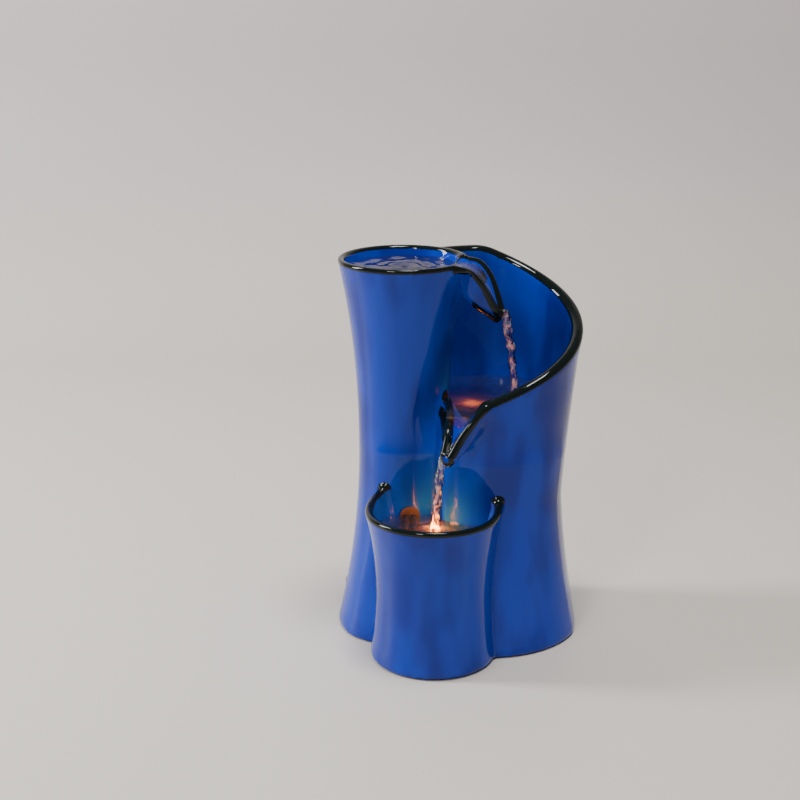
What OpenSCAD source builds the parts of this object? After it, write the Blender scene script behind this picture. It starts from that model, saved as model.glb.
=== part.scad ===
// Tabletop water fountain: a scroll of glazed clay with three basins, a small
// submersible pump, a riser hose and two underwater lamps.
// Lengths are in millimetres. Z points up and z = 0 is the table. The tower's axis is the
// design axis, and every piece is moved at the end so that the middle of the base is the origin.

/* [Tower] */
// Height of the tower from the table to the top of its lip
tower_h = 280; // [250:1:330]
// Outer radius at the tower's foot
tower_foot_r = 49.5; // [47:0.5:56]
// Outer radius at the tower's waist
tower_waist_r = 32.5; // [31:0.5:38]
// Height of the tower's waist
tower_waist_z = 134; // [120:1:160]
// Outer radius at the tower's lip
tower_lip_r = 47.3; // [43:0.1:55]
// Thickness of the tower's clay wall
tower_wall = 5; // [4.5:0.1:6]

/* [Scroll wall] */
// Distance from the tower's axis to the axis of the scroll
scroll_x = 61.6; // [58:0.1:68]
// Outer radius at the scroll's foot
scroll_foot_r = 69.5; // [66:0.5:78]
// Outer radius at the scroll's waist
scroll_waist_r = 55.9; // [53:0.1:62]
// Height of the scroll's waist
scroll_waist_z = 106; // [95:1:125]
// Outer radius where the rim passes the right-hand side
scroll_side_r = 68.3; // [66:0.1:76]
// Thickness of the scroll's clay wall
scroll_wall_t = 7; // [6:0.1:8.5]
// Height of the rim where the scroll leaves the back of the tower
scroll_back_z = 275; // [245:1:280]
// Height of the rim at the shoulder of the middle spout
scroll_front_z = 190; // [184:1:205]

/* [Catch cup] */
// Distance of the cup's axis to the right of the tower's axis
cup_x = 21.2; // [19:0.1:24]
// Distance of the cup's axis in front of the tower's axis
cup_front = 61.7; // [60:0.1:66]
// Height of the cup's lip at the front
cup_h = 112; // [106:1:125]
// Outer radius at the cup's foot
cup_foot_r = 45.2; // [43:0.1:50]
// Outer radius at the cup's waist
cup_waist_r = 40.8; // [40:0.1:46]
// Height of the cup's waist
cup_waist_z = 50; // [45:1:60]
// Outer radius at the cup's lip
cup_lip_r = 48.4; // [46:0.1:56]
// Thickness of the cup's clay wall
cup_wall = 5; // [4:0.1:5.5]
// How far the cup's lip climbs where it meets its neighbours
cup_climb = 8; // [0:0.5:12]

/* [Floors] */
// Thickness of the clay base
slab_t = 5; // [4:0.5:8]
// Height of the rubber feet
pad_h = 2; // [1.5:0.1:3]
// Radius of a rubber foot
pad_r = 7; // [5:0.5:9]
// Depth of the top basin below the tower's lip
top_basin_depth = 18; // [14:1:24]
// Thickness of the basin floors
floor_t = 6; // [5:0.5:8]
// Height of the middle basin's floor above the table
middle_floor_z = 156; // [150:1:160]

/* [Pump] */
// Width of the pump
pump_w = 30; // [29:0.5:31]
// Height of the pump
pump_h = 32; // [32:0.5:40]
// Radius of the rotor's ceramic shaft
shaft_r = 1; // [0.8:0.05:1.3]
// Radial running clearance of the rotor on its shaft
run_gap = 0.05; // [0.02:0.01:0.1]
// Travel of the flow slider
slider_travel = 8; // [5:0.5:9]

/* [Hose and lamps] */
// Inner radius of the riser hose
hose_ir = 3; // [2.5:0.1:3.3]
// Wall of the riser hose
hose_wall = 1.5; // [1:0.1:2]
// Height of the hose where it passes through the tower's wall
hose_z = 64; // [64:1:72]
// Radius of the cup lamp
cup_lamp_r = 10; // [8:0.5:11]
// Height of the top of the cup lamp
cup_lamp_z = 92; // [85:1:95]
// Radius of the middle basin's lamp
pool_lamp_r = 9; // [7.5:0.5:9.5]
// Radius of a lamp or pump lead
lead_r = 1.5; // [1:0.1:1.8]
// Radius of the power socket's threaded barrel
inlet_r = 5.5; // [5:0.1:6]

/* [Hidden] */
$fn = 64;
slice = 0.01;                       // small overlap that keeps a cut from leaving a skin
slab_top = pad_h + slab_t;
scroll_power_foot = 1.5;
scroll_power_lip = 1.25;
scroll_side_z = 236;                // height at which scroll_side_r is measured
return_normal = -118;               // direction the wall faces where it starts to turn in
corner_r = 10;                      // outer radius of that turn
bite = 2;                           // how deep one clay piece is keyed into the next
wall_end = 0.35;                    // share of the wall's thickness left where it dies into the tower
centre_x = (scroll_x + scroll_foot_r - tower_foot_r) / 2;
centre_y = (scroll_r(scroll_back_z) - cup_front - cup_lip_r) / 2;

// Outlines of the three pots: a waist with a power curve above and below it.
function waisted(z, waist_z, waist_r, foot_r, foot_power, lip_z, lip_r, lip_power) =
    z < waist_z
        ? waist_r + (foot_r - waist_r) * pow((waist_z - z) / waist_z, foot_power)
        : waist_r + (lip_r - waist_r) * pow((z - waist_z) / (lip_z - waist_z), lip_power);
function tower_r(z) =
    waisted(z, tower_waist_z, tower_waist_r, tower_foot_r, 1.9, tower_h, tower_lip_r, 2.25);
function scroll_r(z) =
    waisted(z, scroll_waist_z, scroll_waist_r, scroll_foot_r, scroll_power_foot,
            scroll_side_z, scroll_side_r, scroll_power_lip);
function cup_r(z) =
    waisted(z, cup_waist_z, cup_waist_r, cup_foot_r, 1.6, cup_h, cup_lip_r, 2);

function lerp(a, b, t) = a + (b - a) * t;
function ease(t) = t <= 0 ? 0 : t >= 1 ? 1 : t * t * (3 - 2 * t);

// Section through a wall as pairs [inset from the outer face, height], up the outside,
// over a round lip and down the inside.
wall_steps = 8;
lip_steps = 4;
function wall_section(bottom, top, t) = [
    for (i = [0 : wall_steps]) [0, lerp(bottom, top - t / 2, i / wall_steps)],
    for (i = [1 : lip_steps]) let (a = 180 - 180 * i / (lip_steps + 1))
        [t / 2 + t / 2 * cos(a), top - t / 2 + t / 2 * sin(a)],
    for (i = [wall_steps : -1 : 0]) [t, lerp(bottom, top - t / 2, i / wall_steps)],
];

// Closed skin over rings of points; the ends are strips between opposite points.
module skin(rings) {
    m = len(rings[0]);
    last = (len(rings) - 1) * m;
    polyhedron(
        points = [for (r = rings) each r],
        faces = [
            for (i = [0 : len(rings) - 2], j = [0 : m - 1])
                let (k = (j + 1) % m, a = i * m, b = a + m)
                    each [[a + j, b + j, b + k], [a + j, b + k, a + k]],
            for (j = [0 : m / 2 - 2])
                each [[j, j + 1, m - 2 - j], [j, m - 2 - j, m - 1 - j]],
            for (j = [0 : m / 2 - 2])
                each [[last + j, last + m - 2 - j, last + j + 1],
                      [last + j, last + m - 1 - j, last + m - 2 - j]],
        ],
        convexity = 8);
}

// Smooth route through hand-chosen points, and a round lead along it.
function route(p, steps) = [
    for (i = [0 : len(p) - 2], s = [0 : steps - 1])
        let (a = p[max(i - 1, 0)], b = p[i], c = p[i + 1], d = p[min(i + 2, len(p) - 1)],
             t = s / steps)
            0.5 * (2 * b + (c - a) * t + (2 * a - 5 * b + 4 * c - d) * t * t
                   + (3 * b - a - 3 * c + d) * t * t * t),
    p[len(p) - 1],
];
function unit(v) = v / norm(v);
lead_side = [1, 0.35, 0.2];         // a direction that no lead runs along
module lead(points, r) {
    path = route(points, 3);
    n = len(path) - 1;
    skin([for (i = [0 : n])
        let (along = unit(path[min(i + 1, n)] - path[max(i - 1, 0)]),
             u = unit(cross(along, lead_side)), v = cross(u, along))
            [for (k = [0 : 7]) path[i] + r * (u * cos(45 * k) + v * sin(45 * k))]]);
}

// Solid bounded by the tower's outer face, and the same shape brought in by the wall.
tower_steps = 28;
module tower_solid(inset, bottom, top) {
    rotate_extrude()
        polygon([
            [0, bottom],
            for (i = [0 : tower_steps]) let (z = lerp(bottom, top, i / tower_steps))
                [tower_r(z) - inset, z],
            [0, top],
        ]);
}

// ---------------------------------------------------------------- places
hose_or = hose_ir + hose_wall;
hose_bend = 12;
pump_l = 28;
pump_x = 10;
pump_y = -(cup_front + 9.3);
foot_gap = 4;                       // height of the suction feet
pump_z = slab_top + foot_gap;
outlet_y = -4;                      // the pump's outlet, from the middle of the pump
hose_ang = atan2(pump_y + outlet_y, pump_x);
hose_s = norm([pump_x, pump_y + outlet_y]);
stub_h = 8;
top_floor_z = tower_h - top_basin_depth;
fitting_barb_z = top_floor_z - 24;
lead_hole_z = 96;
lead_pitch = 2.6;                   // each lead's distance from the grommet's middle
grommet_flange = 1.6;
side_hole_z = 38;
side_bush_r = 3.2;
inlet_ang = 150;
inlet_z = 22;
inlet_flange_r = 8;
inlet_seat = tower_r(inlet_z) - 1.5;
lamp_x = 23;
lamp_y = -61;
// The lamp in the middle basin stands clear of the wall that turns in.
pool_lamp_x = corner_centre(middle_floor_z)[0] - corner_r + scroll_wall_t + pool_lamp_r + 4.8;
pool_lamp_y = -20;
pool_stem_r = 3;
floor_gland_r = 4.6;

module at_origin() { translate([-centre_x, -centre_y, 0]) children(); }
module on_pump() { translate([pump_x, pump_y, pump_z]) children(); }
// Puts +Z of its children along the radius at an angle, at a height.
module through_wall(angle, z) { rotate([0, 0, angle]) translate([0, 0, z]) rotate([0, 90, 0]) children(); }

// ---------------------------------------------------------------- clay
// The throat is the gap in the tower's lip that the upper spout fills.
throat_ang = -14;
throat_w = 36;
throat_depth = 14;
module tower_column() {
    lip = tower_wall / 2;
    color("royalblue") at_origin() difference() {
        union() {
            difference() {
                tower_solid(0, slab_top, tower_h - lip);
                tower_solid(tower_wall, slab_top - 1, tower_h);
            }
            translate([0, 0, tower_h - lip])
                rotate_extrude() translate([tower_lip_r - lip, 0]) circle(r = lip);
        }
        through_wall(throat_ang, tower_h)
            scale([2 * throat_depth / throat_w, 1, 1]) cylinder(d = throat_w, h = 2 * tower_lip_r);
        through_wall(hose_ang, hose_z) cylinder(r = hose_or + 2.5, h = 2 * tower_lip_r);
        through_wall(hose_ang, lead_hole_z) cylinder(r = 6, h = 2 * tower_lip_r);
        through_wall(0, side_hole_z) cylinder(r = side_bush_r, h = 2 * tower_lip_r);
        through_wall(inlet_ang, inlet_z) cylinder(r = inlet_r, h = 2 * tower_lip_r);
        through_wall(inlet_ang, inlet_z)
            translate([0, 0, inlet_seat]) cylinder(r = inlet_flange_r + 0.5, h = tower_lip_r);
    }
}

// The scroll leaves the tower's back along the line that touches both pots, runs round
// its own axis, turns in at the middle spout and comes back to the tower.
fair_steps = 5;
round_steps = 42;
corner_steps = 5;
back_steps = 4;
scroll_stations = fair_steps + round_steps + corner_steps + back_steps;
function touch_ang(z) = 90 + asin((scroll_r(z) - tower_r(z)) / scroll_x);
function scroll_ang(i, z) = lerp(touch_ang(z), return_normal, (i - fair_steps) / round_steps);
function around(angle, r) = [r * cos(angle), r * sin(angle)];
function corner_centre(z) = [scroll_x, 0] + around(return_normal, scroll_r(z) - corner_r);
function scroll_plan(i, z, inset) =
    i < fair_steps
        ? let (thin = lerp(0.5, 1, min(1, i / 2)))
            lerp(around(touch_ang(z), tower_r(z) - inset * thin),
                 [scroll_x, 0] + around(touch_ang(z), scroll_r(z) - inset * thin), i / fair_steps)
    : i <= fair_steps + round_steps
        ? [scroll_x, 0] + around(scroll_ang(i, z), scroll_r(z) - inset)
    : i <= fair_steps + round_steps + corner_steps
        ? let (a = lerp(return_normal, -180, (i - fair_steps - round_steps) / corner_steps))
            corner_centre(z) + around(a, corner_r - inset)
    : let (s = (i - scroll_stations + back_steps) / back_steps, c = corner_centre(z),
           x = c[0] - corner_r, thin = lerp(1, wall_end, s))
        [x + inset * thin, lerp(c[1], return_end(z), s)];
// The wall dies into the tower's side, inside its clay.
function return_end(z) = -sqrt(max(pow(tower_r(z) - bite, 2) - pow(corner_centre(z)[0] - corner_r, 2), 25));
// Height of the rim along the wall: one long fall from back to front, low under the spout.
spout_gap_z = scroll_front_z - 26;
return_rim_z = scroll_front_z - 14;
fair_drop = 5;                      // how much lower the rim starts, behind the tower's lip
function rim_angle(i) = scroll_ang(i, scroll_front_z);
rim_round = 12;                     // degrees over which the fall sets in
function rim_fall(angle) = let (x = max(98 - angle, 0))
    scroll_back_z - (scroll_back_z - scroll_front_z)
        * (x < rim_round ? x * x / (2 * rim_round) : x - rim_round / 2) / (191 - rim_round / 2);
function scroll_rim(i) =
    i < fair_steps ? lerp(scroll_back_z - fair_drop, scroll_back_z, ease(i / fair_steps))
    : rim_angle(i) > -93 ? rim_fall(rim_angle(i))
    : i <= fair_steps + round_steps
        ? lerp(scroll_front_z, spout_gap_z, ease((-93 - rim_angle(i)) / 22))
    : i <= fair_steps + round_steps + corner_steps ? spout_gap_z
    : lerp(spout_gap_z, return_rim_z, ease((i - scroll_stations + back_steps) / back_steps));
module scroll_wall() {
    color("mediumblue") at_origin()
        skin([for (i = [0 : scroll_stations])
            [for (p = wall_section(slab_top, scroll_rim(i), scroll_wall_t))
                let (q = scroll_plan(i, p[1], p[0])) [q[0], q[1], p[1]]]]);
}

// The cup's wall runs from the tower's front round to the scroll's front.
cup_steps = 40;
function meet_ang(d, r, other) = acos((d * d + r * r - other * other) / (2 * d * r));
function cup_from(z) =
    atan2(cup_front, -cup_x) + meet_ang(norm([cup_x, cup_front]), cup_r(z), tower_r(z) - bite);
function cup_to(z) =
    360 + atan2(cup_front, scroll_x - cup_x)
    - meet_ang(norm([scroll_x - cup_x, cup_front]), cup_r(z), scroll_r(z) - bite);
function cup_rim(i) = cup_h + cup_climb * pow(abs(2 * i / cup_steps - 1), 6);
module catch_cup() {
    color("cornflowerblue") at_origin()
        skin([for (i = [0 : cup_steps])
            [for (p = wall_section(slab_top, cup_rim(i), cup_wall))
                let (a = lerp(cup_from(min(p[1], cup_h)), cup_to(min(p[1], cup_h)), i / cup_steps),
                     q = [cup_x, -cup_front] + around(a, cup_r(min(p[1], cup_h)) - p[0]))
                    [q[0], q[1], p[1]]]]);
}

module upper_basin_floor() {
    color("royalblue") at_origin() difference() {
        translate([0, 0, top_floor_z - floor_t])
            cylinder(r = tower_r(top_floor_z - floor_t) - tower_wall + slice, h = floor_t);
        translate([0, 0, top_floor_z - floor_t - 1]) cylinder(r = fitting_r, h = floor_t + 2);
    }
}

// The floor fills the room between the two pots: it follows the wall that turns in, runs up to
// the tower and is keyed into both.
module middle_basin_floor() {
    low = middle_floor_z - floor_t;
    key = bite / 2;
    far = 2 * scroll_foot_r;
    turn = corner_centre(low) - [corner_r, 0];
    room_r = scroll_r(low) - scroll_wall_t + key;
    color("mediumblue") at_origin() difference() {
        translate([0, 0, low]) linear_extrude(floor_t) difference() {
            intersection() {
                hull() {
                    translate([scroll_x, 0]) circle(r = room_r);
                    circle(r = tower_r(low) - scroll_wall_t + key);
                }
                polygon([[turn[0] + scroll_wall_t - key, -far],
                         [turn[0] + scroll_wall_t - key, turn[1]],
                         [turn[0] + wall_end * scroll_wall_t - key, return_end(low)],
                         [0, return_end(low)], [0, far], [2 * far, far], [2 * far, -far]]);
            }
            circle(r = tower_r(low) - key);
        }
        translate([pool_lamp_x, pool_lamp_y, low - 1]) cylinder(r = floor_gland_r, h = floor_t + 2);
    }
}

// A spout is a beak between a left lip, a bed that the water runs over, a keel underneath and
// a right lip, each a list of points.
spout_steps = 2;
trough_steps = 6;
function bow(l, b, r, t) =              // parabola through the two lips and the bed
    l * (1 - t) * (1 - 2 * t) + b * 4 * t * (1 - t) + r * t * (2 * t - 1);
module spout(left, bed, keel, right, lip_t) {
    l = route(left, spout_steps);
    b = route(bed, spout_steps);
    k = route(keel, spout_steps);
    r = route(right, spout_steps);
    down = [0, 0, lip_t];
    skin([for (i = [0 : len(l) - 1])
        [for (n = [0 : trough_steps]) bow(l[i], b[i], r[i], n / trough_steps),
         for (n = [trough_steps : -1 : 0])
             bow(l[i] - down, k[i], r[i] - down, n / trough_steps)]]);
}
module upper_spout() {
    up = tower_h;
    color("royalblue") at_origin()
        spout([[34, -29, up - 1], [41, -24, up - 2.5], [47.5, -16, up - 6.5], [56, -11, up - 17],
               [63, -6, up - 32], [68, -2, up - 42]],
              [[34, -9, up - 10], [42, -8, up - 8.5], [51, -5, up - 11], [59, -2, up - 20],
               [65, 0, up - 33], [69, 0, up - 42]],
              [[36, -9, up - 15], [42, -9, up - 18], [46, -9, up - 28], [51, -8, up - 35],
               [58, -6, up - 40], [67, -2, up - 45]],
              [[42, 12, up - 1], [47, 10, up - 2], [55, 9, up - 4], [62, 7, up - 12],
               [67, 5, up - 24], [71, 3, up - 38]], 3);
}
module middle_spout() {
    up = scroll_front_z;
    color("mediumblue") at_origin()
        spout([[32, -18, up - 8], [33, -36, up - 12], [32, -50, up - 16], [31, -60, up - 20], [28, -71, up - 32]],
              [[46, -38, up - 21], [42, -50, up - 23], [37, -60, up - 27], [33, -66, up - 31], [30, -72, up - 36]],
              [[47, -40, up - 26], [47, -56, up - 28], [43, -64, up - 31], [37, -70, up - 34], [31, -73, up - 38]],
              [[60, -60, up - 2], [54, -65, up - 4], [46, -70, up - 12], [39, -72, up - 22], [33, -74, up - 33]], 3);
}

module foot_slab() {
    edge = 1.5;
    touch = touch_ang(slab_top);
    color("burlywood") at_origin() translate([0, 0, pad_h]) {
        cylinder(r = tower_r(slab_top) - edge, h = slab_t);
        translate([scroll_x, 0]) cylinder(r = scroll_r(slab_top) - edge, h = slab_t);
        translate([cup_x, -cup_front]) cylinder(r = cup_r(slab_top) - edge, h = slab_t);
        linear_extrude(slab_t)
            polygon([around(touch, tower_r(slab_top) - edge - 0.3),
                     [scroll_x, 0] + around(touch, scroll_r(slab_top) - edge - 0.3),
                     [scroll_x, 0], [0, 0]]);
    }
}

pad_places = [[-30, 12], [cup_x, -cup_front - 27], [scroll_x + 44, -34],
              [scroll_x + 34, 44], [scroll_x - 32, 44]];
module rubber_feet() {
    color("dimgray") at_origin()
        for (p = pad_places) translate(p) cylinder(r = pad_r, h = pad_h);
}

// ---------------------------------------------------------------- pump
shell_t = 2;
axle_z = 13;                        // height of the rotor's axis in the pump
cover_l = 7;
cap_l = 3;
volute_r = 9;
well_r = 7.2;
volute_back = -1;
well_back = 8.2;
bush_r = 1.9;
bush_l = 1.5;
pump_front = -pump_l / 2;
pump_split = pump_front + cover_l;
cap_front = pump_l / 2 - cap_l;
outlet_bore = 2.2;

module pump_block(y0, y1, inset) {
    round_r = 4 - inset;
    translate([0, 0, inset]) linear_extrude(pump_h - 2 * inset)
        intersection() {
            hull()
                for (x = [-1, 1], y = [-1, 1])
                    translate([x * (pump_w / 2 - 4), y * (pump_l / 2 - 4)]) circle(r = round_r);
            translate([-pump_w, y0]) square([2 * pump_w, y1 - y0]);
        }
}
module along_axle(y) { translate([0, y, axle_z]) rotate([-90, 0, 0]) children(); }

module pump_housing() {
    color("#202226") at_origin() on_pump() difference() {
        union() {
            difference() {
                pump_block(pump_split, cap_front, 0);
                difference() {
                    translate([shell_t - pump_w / 2, motor_y, shell_t])
                        cube([pump_w - 2 * shell_t, pump_l, pump_h - 2 * shell_t]);
                    along_axle(volute_back) cylinder(r = well_r + 1, h = well_back + 2 - volute_back);
                }
            }
            translate([0, outlet_y, pump_h - slice]) cylinder(r = hose_ir, h = stub_h + slice);
        }
        along_axle(pump_split - 1) cylinder(r = volute_r, h = volute_back - pump_split + 1);
        along_axle(volute_back - slice) cylinder(r = well_r, h = well_back - volute_back + slice);
        along_axle(well_back - slice) cylinder(r = bush_r, h = bush_l + slice);
        translate([0, outlet_y, axle_z]) cylinder(r = outlet_bore, h = pump_h);
    }
}

slot_n = 6;
slot_h = 1.8;
slot_left = -4;
knob_w = 4;
knob_z = 28;
shutter_w = 8;
shutter_left = shell_t - pump_w / 2 + 0.3;
shutter_gap = 0.3;
module pump_front_cover() {
    color("#26282c") at_origin() on_pump() difference() {
        union() {
            difference() {
                pump_block(pump_front, pump_split, 0);
                translate([shell_t - pump_w / 2, pump_front + shell_t, shell_t])
                    cube([pump_w - 2 * shell_t, cover_l, pump_h - 2 * shell_t]);
            }
            for (z = [shell_t, pump_h - shell_t - 3])
                translate([shell_t - pump_w / 2, pump_front + shell_t + 1.9, z])
                    cube([pump_w - 2 * shell_t, 1, 3]);
        }
        for (k = [0 : slot_n - 1])
            translate([slot_left, pump_front - 1, 5 + 3.4 * k])
                cube([pump_w / 2 - shell_t - slot_left, shell_t + 2, slot_h]);
        translate([shutter_left + shutter_w / 2 - knob_w / 2 - 0.3, pump_front - 1, knob_z - 1.8])
            cube([knob_w + slider_travel + 0.6, shell_t + 2, 3.6]);
    }
}

module flow_slider() {
    back = pump_front + shell_t + shutter_gap;
    color("#d8d8d4") at_origin() on_pump() {
        translate([shutter_left, back, shell_t + 1])
            cube([shutter_w, 1.3, pump_h - 2 * shell_t - 2]);
        translate([shutter_left + (shutter_w - knob_w) / 2, pump_front - 2, knob_z - 1.5])
            cube([knob_w, back - pump_front + 2 + slice, 3]);
    }
}

module volute_cover() {
    thick = 1.5;
    color("#d8d8d4") at_origin() on_pump() difference() {
        along_axle(pump_split - thick) cylinder(r = volute_r + 1.5, h = thick);
        difference() {
            along_axle(pump_split - thick - 1) cylinder(r = 5, h = thick + 2);
            along_axle(pump_split - thick - 1) cylinder(r = bush_r + 0.8, h = thick + 2);
            for (a = [0, 120, 240])
                along_axle(pump_split - thick - 1) rotate([0, 0, a])
                    translate([0, -0.7, 0]) cube([6, 1.4, thick + 2]);
        }
        along_axle(pump_split - thick - 1) cylinder(r = bush_r, h = thick + 2);
    }
}

impeller_front = pump_split + 0.4;
magnet_front = volute_back - 0.4;
magnet_l = well_back - 0.4 - magnet_front;
module impeller_wheel() {
    color("#e8e8e4") at_origin() on_pump() difference() {
        union() {
            along_axle(magnet_front - 1.2) cylinder(r = volute_r - 1, h = 1.2);
            along_axle(impeller_front) cylinder(r = 2.4, h = magnet_front - impeller_front);
            for (k = [0 : 5])
                along_axle(impeller_front) rotate([0, 0, 60 * k])
                    translate([1.8, -0.5, 0])
                        cube([volute_r - 3, 1, magnet_front - impeller_front - 0.5]);
        }
        along_axle(impeller_front - 1) cylinder(r = shaft_r + run_gap, h = pump_l);
    }
}
module rotor_magnet() {
    color("#3a3a3e") at_origin() on_pump() difference() {
        along_axle(magnet_front) cylinder(r = well_r - 0.4, h = magnet_l);
        along_axle(magnet_front - 1) cylinder(r = shaft_r + run_gap, h = magnet_l + 2);
    }
}
shaft_front = pump_split - 1.3;
module rotor_shaft() {
    color("white") at_origin() on_pump()
        along_axle(shaft_front) cylinder(r = shaft_r, h = well_back + 1.3 - shaft_front);
}
module bushing(y) {
    difference() {
        along_axle(y) cylinder(r = bush_r, h = bush_l);
        along_axle(y - 1) cylinder(r = shaft_r, h = bush_l + 2);
    }
}
module shaft_bushings() {
    color("#101010") at_origin() on_pump() {
        bushing(pump_split - bush_l);
        bushing(well_back);
    }
}

coil_t = 1.6;                       // thickness of the winding round the core's bar
motor_y = volute_back + 1.5;        // where the dry space for the motor starts
core_y = motor_y + coil_t + 0.4;
core_l = cap_front - coil_t - 0.4 - core_y;
bar_z = pump_h - 8.5;
bar_h = 4;
module stator_core() {
    half = pump_w / 2 - shell_t - 0.5;
    color("#7c7f84") at_origin() on_pump() difference() {
        translate([-half, core_y, shell_t + 1])
            cube([2 * half, core_l, bar_z + bar_h - shell_t - 1]);
        along_axle(core_y - 1) cylinder(r = well_r + 1.2, h = core_l + 2);
        translate([-well_r - 1, core_y - 1, axle_z]) cube([2 * well_r + 2, core_l + 2, bar_z - axle_z]);
        translate([-2.5, core_y - 1, 0]) cube([5, core_l + 2, axle_z]);
    }
}
module stator_coil() {
    coil_w = 15;
    color("#a8552a") at_origin() on_pump() difference() {
        translate([-coil_w / 2, core_y - coil_t, bar_z - coil_t])
            cube([coil_w, core_l + 2 * coil_t, bar_h + 2 * coil_t]);
        translate([-coil_w, core_y - 0.1, bar_z - 0.1]) cube([2 * coil_w, core_l + 0.2, bar_h + 0.2]);
    }
}
cap_lead = [8, 25];
module pump_rear_cap() {
    color("#202226") at_origin() on_pump() difference() {
        pump_block(cap_front, pump_l / 2, 0);
        translate([cap_lead[0], cap_front - 1, cap_lead[1]])
            rotate([-90, 0, 0]) cylinder(r = lead_r, h = cap_l + 2);
    }
}
module suction_feet() {
    color("#c9cdd0") at_origin()
        for (x = [-1, 1], y = [-1, 1])
            translate([pump_x + x * (pump_w / 2 - 5), pump_y + y * (pump_l / 2 - 5), slab_top])
                cylinder(r1 = 4, r2 = 1.8, h = foot_gap);
}

// ---------------------------------------------------------------- hose and fittings
module hose_ring() { difference() { circle(r = hose_or); circle(r = hose_ir); } }
module hose_length(h) { linear_extrude(h) hose_ring(); }
module hose_elbow() { rotate_extrude(angle = 90) translate([hose_bend, 0]) hose_ring(); }
module riser_hose() {
    up = hose_z - hose_bend;
    base = pump_z + pump_h;
    color("#dfe6e8", 0.6) at_origin() rotate([0, 0, hose_ang]) {
        translate([hose_s, 0, base]) hose_length(up - base);
        translate([hose_s - hose_bend, 0, up]) rotate([90, 0, 0]) hose_elbow();
        translate([hose_bend, 0, hose_z]) rotate([0, 90, 0]) hose_length(hose_s - 2 * hose_bend);
        translate([hose_bend, 0, hose_z + hose_bend]) rotate([90, 0, 0]) rotate([0, 0, 180])
            hose_elbow();
        translate([0, 0, hose_z + hose_bend])
            hose_length(fitting_barb_z + barb_l - hose_z - hose_bend);
    }
}
module hose_clamp() {
    clamp_z = pump_z + pump_h + 2;
    color("silver") at_origin() rotate([0, 0, hose_ang]) translate([hose_s, 0, clamp_z])
        difference() {
            union() {
                cylinder(r = hose_or + 0.9, h = 5);
                for (y = [-1.7, 0.7]) translate([0, y, 0]) cube([hose_or + 5, 1, 5]);
            }
            translate([0, 0, -1]) cylinder(r = hose_or, h = 7);
            translate([0, -0.7, -1]) cube([hose_or + 6, 1.4, 7]);
        }
}

// A grommet's flanges sit just clear of the curved and sloping clay.
function grommet_out(z, r) = tower_r(z - r) + 0.1;
function grommet_in(z, r) = sqrt(pow(tower_r(z + r) - tower_wall, 2) - r * r) - 0.1;
module grommet(z, hole_r, flange_r) {
    low = grommet_in(z, flange_r);
    high = grommet_out(z, flange_r);
    translate([0, 0, low - grommet_flange]) {
        cylinder(r = hole_r, h = high - low + 2 * grommet_flange);
        cylinder(r = flange_r, h = grommet_flange);
        translate([0, 0, high - low + grommet_flange]) cylinder(r = flange_r, h = grommet_flange);
    }
}
module hose_grommet() {
    color("#151515") at_origin() through_wall(hose_ang, hose_z) difference() {
        grommet(hose_z, hose_or + 2.5, hose_or + 4.5);
        cylinder(r = hose_or, h = 3 * tower_lip_r);
    }
}
module lead_grommet() {
    color("#151515") at_origin() through_wall(hose_ang, lead_hole_z) difference() {
        grommet(lead_hole_z, 6, 7.5);
        for (y = [-1, 1]) translate([0, y * lead_pitch, 0]) cylinder(r = lead_r, h = 3 * tower_lip_r);
    }
}
module side_bush() {
    color("#151515") at_origin() through_wall(0, side_hole_z) difference() {
        grommet(side_hole_z, side_bush_r, side_bush_r + 1.6);
        cylinder(r = lead_r, h = 3 * tower_lip_r);
    }
}

fitting_r = 7.5;
flange_r = 11;
flange_t = 2.5;
gasket_t = 1;
nut_t = 6;
socket_r = 4.1;
socket_l = 6;
barb_l = 9;
fitting_top = top_floor_z + gasket_t + flange_t + 2.5;
module outlet_fitting() {
    body_low = fitting_barb_z + barb_l;
    color("#1c1d20") at_origin() difference() {
        union() {
            translate([0, 0, fitting_barb_z]) cylinder(r = hose_ir, h = barb_l + slice);
            translate([0, 0, body_low]) cylinder(r = fitting_r, h = fitting_top - body_low);
            translate([0, 0, top_floor_z + gasket_t]) cylinder(r = flange_r, h = flange_t);
        }
        translate([0, 0, fitting_barb_z - 1]) cylinder(r = outlet_bore, h = fitting_top);
        translate([0, 0, fitting_top - socket_l]) cylinder(r = socket_r, h = socket_l + 1);
    }
}
module fitting_gasket() {
    color("#111111") at_origin() translate([0, 0, top_floor_z]) difference() {
        cylinder(r = flange_r, h = gasket_t);
        translate([0, 0, -1]) cylinder(r = fitting_r, h = gasket_t + 2);
    }
}
module fitting_nut() {
    color("#1c1d20") at_origin() translate([0, 0, top_floor_z - floor_t - nut_t]) difference() {
        cylinder(r = flange_r + 1, h = nut_t, $fn = 6);
        translate([0, 0, -1]) cylinder(r = fitting_r, h = nut_t + 2);
    }
}

// ---------------------------------------------------------------- lamps
lamp_h = 8;
lens_t = 2.5;
board_t = 1.2;
lens_seat = 1.6;                    // wall of a lamp's case
chip_w = 3.2;
module lamp_case(r) {
    difference() {
        cylinder(r = r, h = lamp_h);
        translate([0, 0, 2]) cylinder(r = r - lens_seat, h = lamp_h);
    }
}
module lamp_board(r, chips) {
    translate([0, 0, 2]) {
        cylinder(r = r - lens_seat - 0.2, h = board_t);
        for (k = [0 : chips - 1]) rotate([0, 0, 360 / chips * k + 40])
            translate([(r - lens_seat) * 0.58 - chip_w / 2, -chip_w / 2, board_t - slice])
                cube([chip_w, chip_w, 1]);
    }
}
module lamp_lens(r) {
    translate([0, 0, lamp_h - lens_t]) {
        cylinder(r = r - lens_seat, h = lens_t);
        translate([0, 0, lens_t]) cylinder(r1 = r - lens_seat, r2 = r - lens_seat - 2, h = 0.8);
    }
}
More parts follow.
